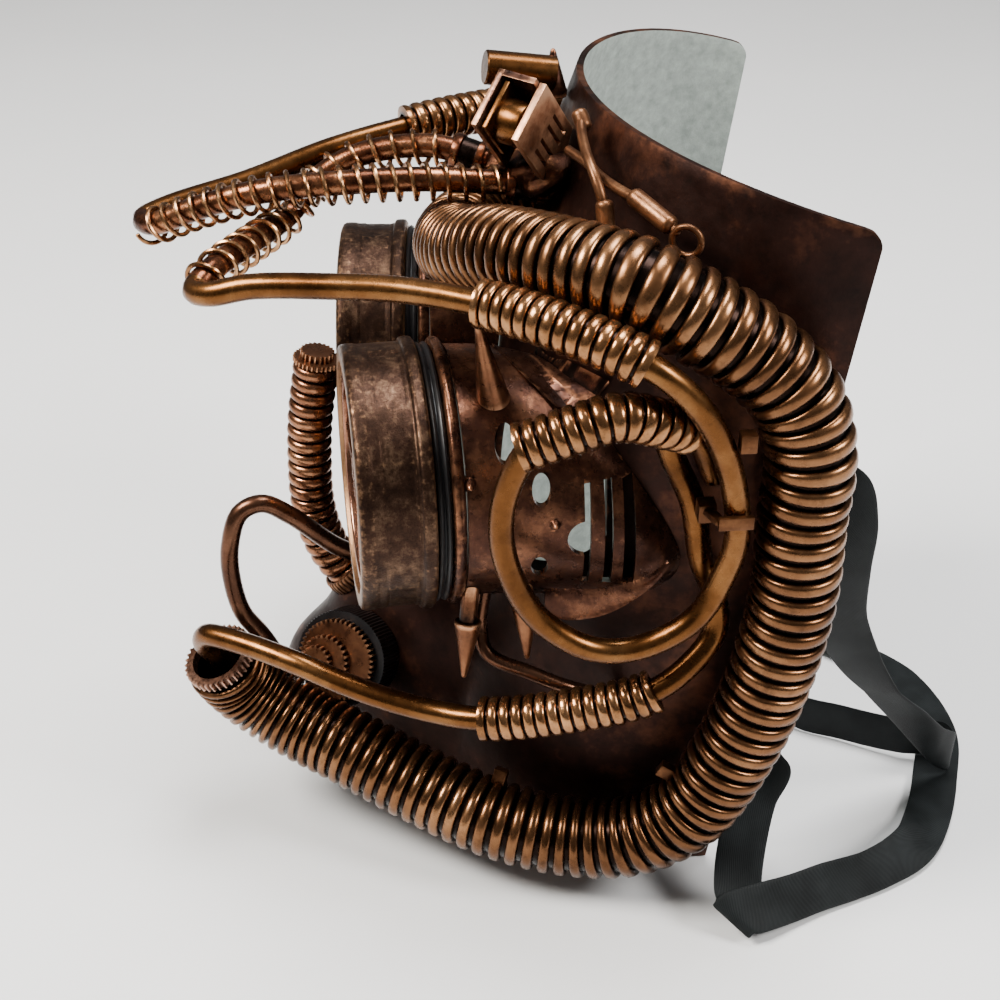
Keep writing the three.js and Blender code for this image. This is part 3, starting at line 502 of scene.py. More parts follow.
# Shell, one row for each level: half width at the back, front of the cheeks, squareness of the
# plan, and the snout's reach and half width.
SHELL_ROWS = np.array([
    # z, half, front, square, snout, narrow
    [0, 75, -32, 2.2, 8, 40],
    [16, 76, -30, 2.2, 28, 40],
    [32, 76.5, -27, 2.2, 47, 40],
    [43, 77, -25, 2.2, 46, 39],
    [54, 77.5, -22, 2.2, 39, 38],
    [66, 78, -18, 2.3, 36, 35],
    [78, 79, -13, 2.3, 28, 30],
    [91, 79.5, -9, 2.4, 12, 22],
    [106, 80, -6, 2.5, 0, 20],
    [136, 81.6, -1, 2.5, 0, 20],
    [168, 82.2, 4, 2.35, 0, 20],
    [204, 82.6, 12, 2.15, 0, 20],
    [239, 82.8, 23, 1.95, 0, 20],
])
SHELL_LEVELS, SHELL_STEPS = 72, 70
CORNER_SHARES = [0, 0.001, 0.0025, 0.005, 0.008, 0.012]


def shell_table(z):
    """The columns at a level, smooth between the rows."""
    t = SHELL_ROWS[:, 0]
    slope = np.gradient(SHELL_ROWS[:, 1:], t, axis=0)
    i = int(np.clip(np.searchsorted(t, z) - 1, 0, len(t) - 2))
    h = t[i + 1] - t[i]
    k = (z - t[i]) / h
    a, b = SHELL_ROWS[i, 1:], SHELL_ROWS[i + 1, 1:]
    return (a * (2 * k ** 3 - 3 * k ** 2 + 1) + b * (3 * k ** 2 - 2 * k ** 3)
            + h * slope[i] * (k ** 3 - 2 * k ** 2 + k) + h * slope[i + 1] * (k ** 3 - k ** 2))


def shell_line(z, inset):
    half, front, square, snout, narrow = shell_table(z)
    snout = max(0.0, snout)
    t = np.concatenate([CORNER_SHARES, np.linspace(0.017, 1, SHELL_STEPS)])
    turn = (math.pi / 2) * (1 - (1 - t) ** 1.6)
    back = BACK_LOW + BACK_LEAN * z / RIM_HEIGHT
    x = (half - inset) * np.maximum(0, np.cos(turn)) ** (2 / square)
    reach = (back - front - inset) * np.sin(turn) ** (2 / square)
    width = max(narrow - inset * 1.1, 1)
    bump = np.where(x < width, snout * (1 - np.minimum(1, x / width) ** 2) ** 1.4, 0)
    fall = RIM_DROP * np.clip((RIM_REACH - reach) / RIM_REACH, 0, 1) ** 1.7
    corner = np.clip(RIM_CORNER - reach, 0, RIM_CORNER)
    fall = fall + RIM_CORNER - np.sqrt(RIM_CORNER ** 2 - corner ** 2)
    near = np.stack([x, back - reach - bump, z * (1 - fall / RIM_HEIGHT)], -1)
    far = near[:-1][::-1] * (-1, 1, 1)
    return np.concatenate([near, far])


def shell_solid(inset_out, inset_in=None):
    levels = np.linspace(0, RIM_HEIGHT, SHELL_LEVELS)
    outer = np.array([shell_line(z, inset_out) for z in levels])
    if inset_in is None:
        return loft(outer)
    inner = np.array([shell_line(z, inset_in) for z in levels])
    rows, cols = outer.shape[:2]
    points = np.concatenate([outer.reshape(-1, 3), inner.reshape(-1, 3)])
    base, last = rows * cols, (rows - 1) * cols
    faces = grid_faces(rows, cols, closed=False)
    faces += [[base + i for i in f[::-1]] for f in faces]
    for j in range(cols - 1):
        faces.append([j + 1, j, base + j, base + j + 1])
        faces.append([last + j, last + j + 1, base + last + j + 1, base + last + j])
    for i in range(rows - 1):
        faces.append([i * cols, (i + 1) * cols, base + (i + 1) * cols, base + i * cols])
        a, b = i * cols + cols - 1, (i + 1) * cols + cols - 1
        faces.append([b, a, base + a, base + b])
    return points, faces, None


def eye_back(side):
    return np.array([-side * math.sin(EYE_TOE), math.cos(EYE_TOE), 0])


def eye_line(side):
    start = EYE * (side, 1, 1) - eye_back(side) * EYE_START
    return Line([start, start + eye_back(side) * EYE_LENGTH], fine=False)


def on_eye(profile, side, closed=True, sides=EYE_SEGMENTS):
    """A profile turned round the eye's line, its stations counted from the front of the can."""
    maker = closed_lathe if closed else bend_lathe
    return maker([[r, s + EYE_START] for r, s in profile], sides, eye_line(side))


shell_fill = loose("shell_fill", shell_solid(-SEAT))
EYE_CUT = [[0, 30], [EYE_HOLE, 30], [EYE_HOLE, 72], [0, 72]]
SLOT_LEVELS = (146.0, 44.0)
SLOT_SIZE, SLOT_X, SLOT_IN = [30, 2.4, 18], 80, 6
HOLLOW_Y = 50
BETWEEN_RIMS, LEDGE_LEVELS = (20, 200), (36, 200)


def bare_inside(face):
    """Whether a face of the shell looks into the hollow."""
    c = Vector(face.center) / MM + Vector((0, CHIN_Y, 0))
    n = face.normal
    inward = n.x * c.x + n.y * (c.y - HOLLOW_Y) < -abs(c.x) * 0.15 - 6
    rim = abs(n.z) > 0.8 and not BETWEEN_RIMS[0] < c.z < BETWEEN_RIMS[1]
    ledge = n.z < -0.5 and LEDGE_LEVELS[0] < c.z < LEDGE_LEVELS[1]
    return (inward and not rim) or ledge


def build_shell():
    obj = loose("face_shell_form", shell_solid(0, WALL))
    cutters = []
    for side in (1, -1):
        cutters.append(loose("cut", on_eye(EYE_CUT, side, False, 96)))
        for z in SLOT_LEVELS:
            y = BACK_LOW + BACK_LEAN * z / RIM_HEIGHT - SLOT_IN
            cutters.append(loose("cut", box(SLOT_SIZE, [side * SLOT_X, y, z])))
    carve(obj, cutters)
    discard(*cutters)
    bevel(obj, 0.6, 50)
    finish_piece(obj, shell_paint, "face_shell", sharp=45, more=(lining,))
    for f in obj.data.polygons:
        f.material_index = int(bare_inside(f))


build_shell()

# Eye cups, one row for each section: middle, half width, half height and turn in degrees.
CUP_ROWS = np.array([
    # x, y, z, wide, tall, turn
    [43.6, -18.6, 133, 37.4, 37.4, 4.5],
    [44, -6, 132.6, 37.5, 37, 4.5],
    [46.5, 10, 131, 36.2, 34.8, 4],
    [53, 26, 126.5, 30.2, 28.6, 2],
    [60, 37, 122.5, 22, 20.5, 0],
    [66, 44, 120, 13, 12, 0],
    [69, 47.5, 119, 7, 6, 0],
])
CUP_WALL, CUP_SEAT, CUP_SEGMENTS = 2.2, 0.3, 96
CUP_CAVITY = CUP_ROWS[:6]


def cup_loops(rows, inset=0, shift=0):
    rows = rows.copy()
    rows[0, 1] += shift
    fine = spline(rows, per=7)
    a = np.arange(CUP_SEGMENTS) / CUP_SEGMENTS * 2 * math.pi
    out = []
    for x, y, z, wide, tall, turn in fine:
        t = math.radians(turn)
        w, h = np.cos(a) * (wide - inset), np.sin(a) * (tall - inset)
        out.append(np.stack([x + w * math.cos(t), y + w * math.sin(t), z + h], -1))
    return np.array(out)


def cup_part():
    outer, inner = cup_loops(CUP_ROWS), cup_loops(CUP_CAVITY, CUP_WALL)
    n, m, c = len(outer), len(inner), CUP_SEGMENTS
    points = np.concatenate([outer.reshape(-1, 3), inner.reshape(-1, 3)])
    base = n * c
    faces = [f[::-1] for f in grid_faces(n, c)] + grid_faces(m, c, base=base)
    faces += [ends(n, c)[1][::-1], [base + i for i in ends(m, c)[1]]]
    faces += [[j, (j + 1) % c, base + (j + 1) % c, base + j] for j in range(c)]
    return points, faces, None


def hole(radius, squash, at):
    line = Line([[at[0] - 20, at[1], at[2]], [at[0] + 20, at[1], at[2]]], fine=False)
    p, f, w = bend_lathe([[0, 0], [radius, 0], [radius, 40], [0, 40]], 40, line)
    p = (p - at) * (1, 1, squash) + at
    return p, f, w


def half_moon(radius, at):
    """The front half of a round hole, which ends at the line of its middle."""
    p, f, w = hole(radius, 1, at)
    return np.stack([p[:, 0], np.minimum(p[:, 1], at[1]), p[:, 2]], -1), f, w


CUP_CUTS = [
    box([40, 1.8, 32], [80, 17.5, 131]),
    box([40, 2.4, 32], [80, 23.5, 131]),
    box([40, 3.4, 31], [80, 29.5, 130.5]),
    half_moon(5.6, [80, 17.4, 131.5]),
    hole(2.6, 1.7, [80, 4.6, 146]),
    hole(2.4, 1.6, [80, 4.2, 121.5]),
    hole(3, 1.5, [80, -4.8, 157]),
]
# Flare between the top of the cup and the shell, with three crests: points of each crest, front to rear.
FLARE_CRESTS = np.array([
    [[31.7, -5.2, 168.2], [44, -1.6, 169.2], [52.6, 2, 168.4], [63.4, 10.2, 163.6]],
    [[36.5, 5.1, 167], [45, 7.8, 167.6], [52.4, 10.6, 167], [61.4, 17.4, 163.8]],
    [[33.5, 7.7, 168], [43, 12.4, 169.8], [51, 16.4, 170.6], [62.5, 24.8, 170.6]],
])
FLARE_OUT = unit([0.45, -0.3, 0.84])
FLARE_VALLEY = 2.4
FLARE_DEPTH = 7.0


def flare_part():
    first, second, third = (spline(c, per=8) for c in FLARE_CRESTS)
    valley, depth = FLARE_OUT * FLARE_VALLEY, FLARE_OUT * FLARE_DEPTH
    return loft(np.stack([first, (first + second) / 2 - valley, second, (second + third) / 2 - valley, third,
                          third - depth, first - depth], 1))


# Lip that hangs from the cup's lower side towards the rear: points where it leaves the cup, and its edge.
LIP_TOPS = [[74.2, 6.5, 109.6], [75.2, 10.5, 110.1], [76.9, 18, 110.9], [78.6, 23.5, 112.4], [80.6, 29, 115],
            [81.6, 34.4, 117.4], [80.9, 40.2, 120.6]]
LIP_EDGES = [[75.0, 6.6, 103.8], [76.0, 11.0, 99.6], [77.6, 19.6, 100.4], [79.2, 25.8, 103.5],
             [81.2, 31.7, 108.8], [82.2, 37.1, 114.6], [81.4, 41.8, 120.5]]
LIP_SHARES = (0, 0.25, 0.5, 0.75, 0.92, 1)
LIP_INTO_CUP = (-1.2, 0, 1.4)
LIP_WALL = (-1.8, 0, 0.5)
LIP_CROWN = np.array([0.9, 0, 0.3])


def lip_part():
    tops, edges = spline(LIP_TOPS, per=8) + LIP_INTO_CUP, spline(LIP_EDGES, per=8)
    skin = [tops + (edges - tops) * k + LIP_CROWN * math.sin(math.pi * k) for k in LIP_SHARES]
    return loft(np.stack([*skin, edges + LIP_WALL, tops + LIP_WALL], 1))


# Two small thorns on the side of the cup
THORNS = ([77.8, -15.2, 148], [81.4, 8.3, 136.3])
THORN_ROWS = [[0, 0], [2.2, 0], [2.2, 2.6], [1.5, 3.8], [0.9, 5.2], [0.4, 6], [0, 6.2]]


def thorn(at):
    x, y, z = at
    return bend_lathe(THORN_ROWS, 20, Line([[x - 3, y, z - 0.6], [x + 3.2, y, z + 0.6]], fine=False))


def from_cup_middle(point, side, inset=0):
    """A point's y, its way from the cup's middle line, and that as a share of the cup's half sizes."""
    x, y, z = in_tables(point)
    mid_x, mid_z, wide, tall = (np.interp(y, CUP_ROWS[:, 1], CUP_ROWS[:, k]) for k in (0, 2, 3, 4))
    out = np.array([x * side - mid_x, z - mid_z])
    return y, out, np.linalg.norm(out / (wide - inset, tall - inset))


LIP_FRONT, LIP_WEAR = 5, 0.48


def build_cup(side, name):
    put = mirror if side < 0 else (lambda part: part)
    obj = loose(f"eyecup_{name}_form", put(cup_part()))
    for more in (flare_part(), lip_part(), *map(thorn, THORNS)):
        unite(obj, loose("more", put(more)))
    cutters = [loose("cut", put(cut)) for cut in [loft(cup_loops(CUP_CAVITY, CUP_WALL, -1)), *CUP_CUTS]]
    carve(obj, cutters)
    carve(obj, [shell_fill])
    discard(*cutters)
    bevel(obj, 0.45, 40)
    finish_piece(obj, cup_copper, f"eyecup_{name}", 35, more=(lining,))
    # The lip is no more rubbed than the side of the cup.
    for v, wear in zip(obj.data.vertices, obj.data.attributes["wear"].data):
        y, out, share = from_cup_middle(v.co, side)
        if y > LIP_FRONT and out[1] < 0 and share > 1.015:
            wear.value = LIP_WEAR
    # The inside is bare, as the shell's is.
    for f in obj.data.polygons:
        _, out, share = from_cup_middle(f.center, side, CUP_WALL / 2)
        inward = np.dot(out, (f.normal.x * side, f.normal.z)) < -0.4 * np.linalg.norm(out)
        f.material_index = int(share < 1 and inward)


# The can's section, as [radius, station] rows, with the stations of its side between front and rear
CAN_FRONT = [[34, 21.6], [34, 0.6], [34.4, 0.1], [38, 0.1], [38.9, 0.5], [39.3, 1.2], [39.4, 2.2],
             [39.4, 4.2], [39.2, 4.8], [39.1, 5.4]]
CAN_SIDE = [6.2, 6.9, 7.4, 7.8, 8.2, *np.linspace(9, 15.4, 9), 16.2, 16.6, 17]
CAN_REAR = [[39.15, 17.4], [39.6, 17.7], [40.1, 18], [40.35, 18.5], [40.4, 19.2], [40.4, 20.6],
            [40.2, 21.2], [39.6, 21.6]]
# The band of pads and windows: its stations, the degrees of each in one repeat, and their height
BAND, REPEAT, WINDOW, PAD = (7.6, 16.4), 60, (1.5, 34), (34, 47)
PAD_RISE, WINDOW_SINK = 0.16, 0.22


def barrel_part(side):
    """The can, with a raised pad and a sunk window repeated round its side."""
    rows = CAN_FRONT + [[39.1, s] for s in CAN_SIDE] + CAN_REAR
    r, s = np.array(rows, float).T
    a = np.arange(EYE_SEGMENTS) / EYE_SEGMENTS * 360.0
    in_band = ((s > BAND[0]) & (s < BAND[1]))[:, None]
    local = a % REPEAT
    pad = in_band & (local > PAD[0]) & (local < PAD[1])
    window = in_band & (local > WINDOW[0]) & (local <= WINDOW[1])
    r = r[:, None] + PAD_RISE * pad - WINDOW_SINK * window
    at = eye_line(side).at(s + EYE_START)[0]
    out = np.array([side * math.cos(EYE_TOE), math.sin(EYE_TOE), 0])
    t = np.radians(a)
    ring = np.cos(t)[:, None] * out + np.sin(t)[:, None] * UP
    points = (at[:, None, :] + r[:, :, None] * ring[None]).reshape(-1, 3)
    return points, grid_faces(len(rows), EYE_SEGMENTS) + seam(len(rows), EYE_SEGMENTS), None


GASKET = [[32.5, 22], [37.4, 22], [38.2, 22.3], [38.5, 22.9], [38.2, 23.5], [37.5, 23.9], [37.5, 24.1],
          [38.2, 24.5], [38.5, 25.1], [38.2, 25.7], [37.4, 26], [32.5, 26]]
BEZEL = [[32.5, 26.4], [38.6, 26.4], [39.4, 26.7], [39.8, 27.4], [39.7, 28.4], [39.3, 29.2], [38.5, 29.8],
         [37.8, 30], [32.5, 30]]
LENS = [[0, 6], [12, 6.1], [20, 6.4], [27, 7], [32, 7.9], [33.6, 8.5], [33.6, 11], [0, 11]]
CROSS_RING = [[30.6, 1.6], [31.2, 1.2], [33.2, 1.2], [33.6, 1.6], [33.6, 5.4], [30.6, 5.4]]
CROSS_BARS = ([3.2, 2.4, 62], [62, 2.4, 3.2], [7, 3, 15], [15, 3, 7])
CROSS_IN = 3.2


def cross_part(side):
    back = eye_back(side)
    turn = np.array([np.cross(UP, back), back, UP])
    middle = EYE * (side, 1, 1) + back * CROSS_IN
    return join(on_eye(CROSS_RING, side), *(box(size, middle, turn) for size in CROSS_BARS))


for side, name in ((1, "left"), (-1, "right")):
    build_cup(side, name)
    piece(f"bezel_ring_{name}", on_eye(BEZEL, side), cup_copper)
    piece(f"gasket_{name}", on_eye(GASKET, side), black)
    piece(f"barrel_{name}", barrel_part(side), copper, sharp=50)
    piece(f"lens_{name}", on_eye(LENS, side, False), lens_gold)
    piece(f"lens_cross_{name}", cross_part(side), ring_copper, edge=0.4)

# Cones, one row for each: name, base, tip, radius and the length of the narrow neck under the cone.
SPIKES = [
    ("spike_top", [58.6, -6.4, 160.5], [70, -12.2, 193.8], 5.4, 0),
    ("spike_front", [71.5, -14.6, 113], [77.8, -17.6, 81.2], 4.1, 14),
    ("spike_rear", [74, 0.4, 114], [80, 1, 88.6], 4.3, 7),
]
NECK_R, TIP_R = 2.6, 0.8


def cone(base, tip, radius, neck=0):
    line = Line([base, tip], fine=False)
    length = line.length
    rows = [[0, 0]] + ([[NECK_R, 0], [NECK_R, neck]] if neck else [])
    rows += [[radius - 0.3, neck], [radius, neck + 0.3]]
    rows += [[radius + (TIP_R - radius) * k, neck + 0.3 + (length - neck - 1) * k]
             for k in np.linspace(0.1, 1, 10)]
    rows += [[0.5, length - 0.25], [0, length]]
    return bend_lathe(rows, 40, line)


cup_body = loft(cup_loops(CUP_ROWS, -CUP_SEAT, -CUP_SEAT))
cup_fill = {1: loose("cup_fill", cup_body), -1: loose("cup_fill", mirror(cup_body))}
for name, base, tip, radius, neck in SPIKES:
    part = cone(base, tip, radius, neck)
    piece(f"{name}_left", part, bronze, cutters=(cup_fill[1],))
    piece(f"{name}_right", mirror(part), bronze, cutters=(cup_fill[-1],))

# Thick ribbed hose
HOSE_ROUTE = [
    [38, -92.5, 62], [35.6, -88.6, 53.2], [36.5, -81, 45], [42, -69, 38.5], [51, -53, 34], [63, -31, 27],
    [76, -7, 22], [84, 18, 20], [89, 36, 25], [92, 51, 38], [93.5, 62, 61], [94.5, 70, 89],
    [95.3, 74, 117], [95.5, 74, 143], [96, 74, 165],
    [95, 69, 181], [93.5, 58, 193], [92, 44, 202.5], [87, 28, 210.5], [72, 10, 210.5], [52, -4, 206],
    [32, -12.5, 198], [12, -14, 193], [-4, -5, 193], [-12, 12, 195],
]
hose = Line(HOSE_ROUTE)
# The hose is pushed together near its ends and drawn out along the side.
HOSE_PITCHES = [[0, 3.1], [35, 3.6], [75, 4.8]] + [
    [hose.nearest(point), pitch] for point, pitch in (
        ([89, 36, 25], 4.9), ([94.5, 70, 89], 5.7), ([96, 74, 165], 6.1), ([92, 44, 202.5], 5.4),
        ([52, -4, 206], 4.1), ([12, -14, 193], 3.8))]
rib_rows, rib_wear = ribs(HOSE_R, HOSE_GROOVE, 0.8, hose.length, HOSE_PITCHES, 2.6, 0.74)
MOUTH_ROWS = [[0, 14], [HOSE_BORE, 14], [HOSE_BORE, 10], [HOSE_BORE, 5], [HOSE_BORE, 0], [HOSE_GROOVE, 0]]
MOUTH_WEAR = [0, 0, 0, 0, 0.3, 0.3]
piece("main_hose", bend_lathe(MOUTH_ROWS + rib_rows + [[0, hose.length]], HOSE_SIDES, hose,
                              MOUTH_WEAR + rib_wear + [0]),
      bronze_rib, sharp=RIB_SHARP, cutters=(shell_fill,))

TOOTH_SLOPE = 0.3
TIP_WEAR, ROOT_WEAR, FACE_WEAR = 0.95, 0.3, 0.5


def wheel(teeth, radius, depth, bore, thick, at, along):
    """A toothed wheel with flat-topped teeth."""
    along = unit(along)
    helper = UP if abs(along[2]) < 0.9 else np.array([1.0, 0, 0])
    u = unit(np.cross(helper, along))
    v = np.cross(along, u)
    root = radius - depth
    tooth = ((0.0, root), (0.5 - TOOTH_SLOPE, root), (0.5, radius), (1 - TOOTH_SLOPE, radius))
    a, r = np.array([(2 * math.pi * (i + k) / teeth, rim) for i in range(teeth) for k, rim in tooth]).T
    inner = np.full_like(r, bore if bore else radius * 0.12)
    web = np.full_like(r, max(root - 0.5, inner[0] + 0.1))
    tips = np.where(r > radius - depth / 2, TIP_WEAR, ROOT_WEAR)
    rings, wear = [], []
    for rad, h, value in ((inner, 0, FACE_WEAR), (web, 0, FACE_WEAR), (r, 0, tips), (r, thick, tips),
                          (web, thick, FACE_WEAR), (inner, thick, FACE_WEAR)):
        spokes = (rad * np.cos(a))[:, None] * u + (rad * np.sin(a))[:, None] * v
        rings.append(np.asarray(at) + spokes + along * h)
        wear.append(value * np.ones_like(r))
    n = len(a)
    faces = grid_faces(6, n) + (seam(6, n) if bore else ends(6, n))
    return np.concatenate(rings), faces, np.concatenate(wear)


mouth, mouth_in, _, _ = hose.at(0.0)
COLLAR_OUT = 3.35
piece("hose_collar", wheel(teeth=36, radius=11.8, depth=1.0, bore=HOSE_BORE, thick=3,
                           at=mouth - mouth_in * COLLAR_OUT, along=mouth_in), crown_copper)

# Upper tube of the left side
LEFT_LOOP = [
    [2, -4, 213], [-4, -20, 216], [-8, -41, 212.5], [-6, -54, 206], [2, -63, 198.5], [22, -74, 198],
    [40, -83, 198.5], [48, -87.5, 196], [53, -83, 197], [56, -72, 200], [62, -51, 202], [68, -32, 203],
    [78, -12, 203], [92.4, 6.8, 202.6], [104.3, 28, 196.7], [105.2, 38.5, 188], [104, 46.5, 176],
    [102, 52.5, 160], [99.5, 55.5, 141], [98, 53.5, 129], [98, 46, 113.5], [98, 31, 104.5], [98, 17, 105],
    [98, 1.5, 117], [98, -7, 136], [98.5, -8, 152], [99, -4.5, 165],
    [100, 0, 172.5], [101, 9, 177], [101, 22, 180.5], [99, 33, 177], [95, 43, 171], [91.5, 50, 156],
]
left = Line(LEFT_LOOP)


def arm_tube(node, line, end, cutters=()):
    """A tube whose arm, up to a station of its line, has another finish."""
    obj = loose(f"{node}_form", round_tube(line, TUBE_R))
    if cutters:
        carve(obj, cutters)
    finish_piece(obj, gold, node, more=(arm_copper,))
    for f in obj.data.polygons:
        f.material_index = int(line.nearest(in_tables(f.center)) <= end)


def sleeve(node, line, start, end):
    outer, wear = ribs(SLEEVE_R, SLEEVE_GROOVE, start, end, SLEEVE_PITCH, square=2.8, lobe=0.84, cut=0.25)
    bore = [[SLEEVE_BORE, end + (start - end) * k] for k in np.linspace(0, 1, 12)]
    piece(node, closed_lathe(outer + bore, SLEEVE_SIDES, line, wear + [0] * len(bore)), gold_rib,
          sharp=RIB_SHARP)


arm_tube("loop_tube_left", left, left.nearest([46, -86.5, 196.6]))
sleeve("coil_sleeve_upper", left, left.nearest([78, -12, 203]), left.nearest([104.3, 28, 196.7]))
# This sleeve runs on straight where the tube bends down out of its mouth.
MOUTH_STRAIGHT = 12.0
straight = left.nearest([99.5, -1.5, 169]) + MOUTH_STRAIGHT
start, way, _, _ = left.at(straight)
rest = left.at(np.arange(straight, left.nearest([96, 41, 172.5]), 1.0))[0]
ring_sleeve = Line([start - way * k for k in np.arange(MOUTH_STRAIGHT, 0, -1.0)] + list(rest), fine=False)
sleeve("coil_sleeve_ring", ring_sleeve, 0, ring_sleeve.length)

RIGHT_LOOP = [
    [12, 20, 207], [13, 4, 210], [14, -8, 211.5], [15, -25, 213], [15, -50, 212.5], [13, -70, 210],
    [7, -88, 203.5], [1, -103, 196.5], [-4, -106, 196], [-8, -99, 198], [-14, -75, 203], [-20, -50, 210],
    [-26, -27, 214], [-34, -8, 215], [-46, 12, 213], [-58, 34, 207],
]
right = Line(RIGHT_LOOP)
arm_tube("loop_tube_right", right, right.nearest([-4, -106, 196]), (shell_fill,))
sleeve("coil_sleeve_right", right, right.nearest([-26, -27, 214]), right.nearest([-42, 1, 214.4]))


def spring(node, line, start, end, pitch):
    """A wire wound loosely on an arm, so that it hangs below it."""
    s = np.linspace(start, end, int((end - start) / pitch * SPRING_POINTS))
    at, _, side, up = line.at(s)
    a = ((s - start) / pitch * 2 * math.pi)[:, None]
    wire = Line(at - UP * SPRING_HANG + SPRING_R * (np.cos(a) * side + np.sin(a) * up), fine=False)
    piece(node, round_tube(wire, SPRING_WIRE, sides=8, step=1.1), spring_wire, replaced=False)


spring("spring_left", left, left.nearest([-1, -12, 215]), left.nearest([46, -86.5, 196.6]), pitch=6.2)
spring("spring_right", right, right.nearest([13, -2, 211]), right.nearest([0, -104, 196.3]), pitch=4.9)


def ferrule(node, line, start, end, radius, cutters=()):
    """A banded sleeve at the root of an arm."""
    bore, front_band, groove, rear_band = TUBE_R + 0.1, radius + 0.25, radius - 0.3, radius + 0.3
    rows = [[bore, start], [radius, start], [front_band, start + 0.4], [front_band, start + 2.2],
            [groove, start + 2.6], [groove, end - 2.8], [rear_band, end - 2.3], [rear_band, end - 0.4],
            [radius, end], [bore, end]]
    piece(node, closed_lathe(rows, 36, line), arm_copper, replaced=False, cutters=cutters)


ferrule("ferrule_left", left, 0.5, 10.5, 5.2)
arm_root = right.nearest([13, 4, 210])
ferrule("ferrule_right", right, arm_root - 8, arm_root + 4, 5.0, (shell_fill,))

LOWER_ROUTE = [
    [36, -89.4, 55], [38.7, -93.7, 64.6], [42, -97, 72.5], [46.5, -95, 78.8], [52, -87.5, 80.5],
    [58, -77.7, 80.5], [65, -66, 79.4], [70, -54, 75.8], [75, -41.8, 73.1], [80, -27, 70.9],
    [86, -13, 72], [92, 12, 78], [95, 36, 86], [93, 48, 95], [90, 54, 103], [88.5, 54, 112],
    [88, 49, 126], [88, 45, 146], [88.5, 39, 160], [88.5, 36.8, 166.5],
]
lower = Line(LOWER_ROUTE)
piece("lower_tube", round_tube(lower, TUBE_R), gold)
sleeve("coil_sleeve_lower", lower, lower.nearest([86, -13, 72]), lower.nearest([95, 37, 86]))

SNOUT_R, SNOUT_ROOM = 2.95, 3.4
SNOUT_LOOP = [
    [6, -26, 82], [9.5, -44, 81], [13, -54, 87], [16, -68.7, 102], [17, -77.2, 107.5], [18, -84.2, 105],
    [20, -88.2, 94.3], [21, -88.6, 81.5], [23, -86, 70], [24, -80.5, 61.5], [25, -76, 53], [22, -72.5, 44],
    [15, -65, 38], [8, -56, 36],
]
snout = Line(SNOUT_LOOP)
piece("snout_loop", round_tube(snout, SNOUT_R), tube_bronze, cutters=(shell_fill,))

FRONT_ROUTE = [
    [0, -38, 57], [0, -47, 65], [0, -54.5, 73], [0, -59.5, 84], [0, -62, 98], [0, -62, 112], [0, -61, 127.5],
    [0, -57.8, 148],
]
front = Line(FRONT_ROUTE)
FRONT_R, FRONT_GROOVE, FRONT_PITCH, FRONT_SIDES = 7.3, 5.8, 4.4, 32
rib_rows, rib_wear = ribs(FRONT_R, FRONT_GROOVE, 0, front.length, FRONT_PITCH, square=2.0, lobe=0.9)
piece("front_hose", bend_lathe([[0, 0]] + rib_rows + [[0, front.length]], FRONT_SIDES, front,
                               [0] + rib_wear + [0]),
      front_rib, sharp=RIB_SHARP, cutters=(shell_fill,))
# Its collar has flutes at every third point of the outer rows.
COLLAR_ROWS = [[7.7, 14], [8.4, 14], [8.9, 15], [9.15, 16.4], [9.1, 18.4], [8.8, 20], [8.4, 20.5],
               [7.7, 20.5]]
COLLAR_SIDES, FLUTED_FROM, FLUTE = 108, 8, 0.955
points, faces, _ = closed_lathe(COLLAR_ROWS, COLLAR_SIDES, front)
radii, stations = np.repeat(COLLAR_ROWS, COLLAR_SIDES, axis=0).T
middle = front.at(stations)[0]
fluted = (np.arange(len(points)) % 3 == 0) & (radii > FLUTED_FROM)
points = middle + (points - middle) * np.where(fluted, FLUTE, 1.0)[:, None]
piece("front_hose_collar", (points, faces, np.where(fluted, 0.15, 0.8)), bronze,
      cutters=(shell_fill,))
top, top_up, _, _ = front.at(front.length)
piece("front_hose_cap", join(wheel(30, 7.5, 0.7, 0, 1.5, top + top_up * 0.35, top_up),
                             wheel(20, 5.4, 0.7, 0, 2.5, top + top_up * 1.85, top_up)), bronze)

GEAR_LINE = unit([0.8, -0.45, 0.4])
GEAR_SIDE = np.array([0.087, 0.996, 0])
GEAR_SIDE = unit(GEAR_SIDE - GEAR_LINE * np.dot(GEAR_SIDE, GEAR_LINE))
GEAR_SEAT = np.array([26, -54.3, 52])
GEARS = [
    # name, teeth, radius, depth, thick, out, aside, material, slot
    ("gear_disc", 84, 16, 0.3, 12, -9, 0.5, black, "black_rubber"),
    ("gear_large", 46, 13.6, 1.1, 2.6, 3.3, 0, bronze, "bronze"),
    ("gear_middle", 26, 8.5, 1, 2, 6.2, -3, bronze, "bronze"),
    ("gear_small", 17, 5.3, 0.8, 2, 8.5, -5, bronze, "bronze"),
]
snout_fill = loose("snout_fill", round_tube(snout, SNOUT_ROOM))
for name, teeth, radius, depth, thick, out, aside, look, slot in GEARS:
    seat = GEAR_SEAT + GEAR_LINE * out + GEAR_SIDE * aside
    piece(name, wheel(teeth, radius, depth, 0, thick, seat, GEAR_LINE), look,
          cutters=(shell_fill, snout_fill))
discard(snout_fill)

# Block at the forehead, on its own axes: along its coil, down its side and across it.
COIL = unit([0.626, 0.777, -0.062])
DOWN = unit([0.5424, -0.493, -0.68])
OVER = unit(np.cross(COIL, DOWN))
BLOCK_CORNER = np.array([17.4, -1.6, 245.4])
BLOCK_TURN = np.array([COIL, DOWN, OVER])
PLATE_SLOTS = (3.4, 6.8, 11.2, 14.6)


def on_block(size, middle):
    return box(size, BLOCK_CORNER + np.asarray(middle, float) @ BLOCK_TURN, BLOCK_TURN)


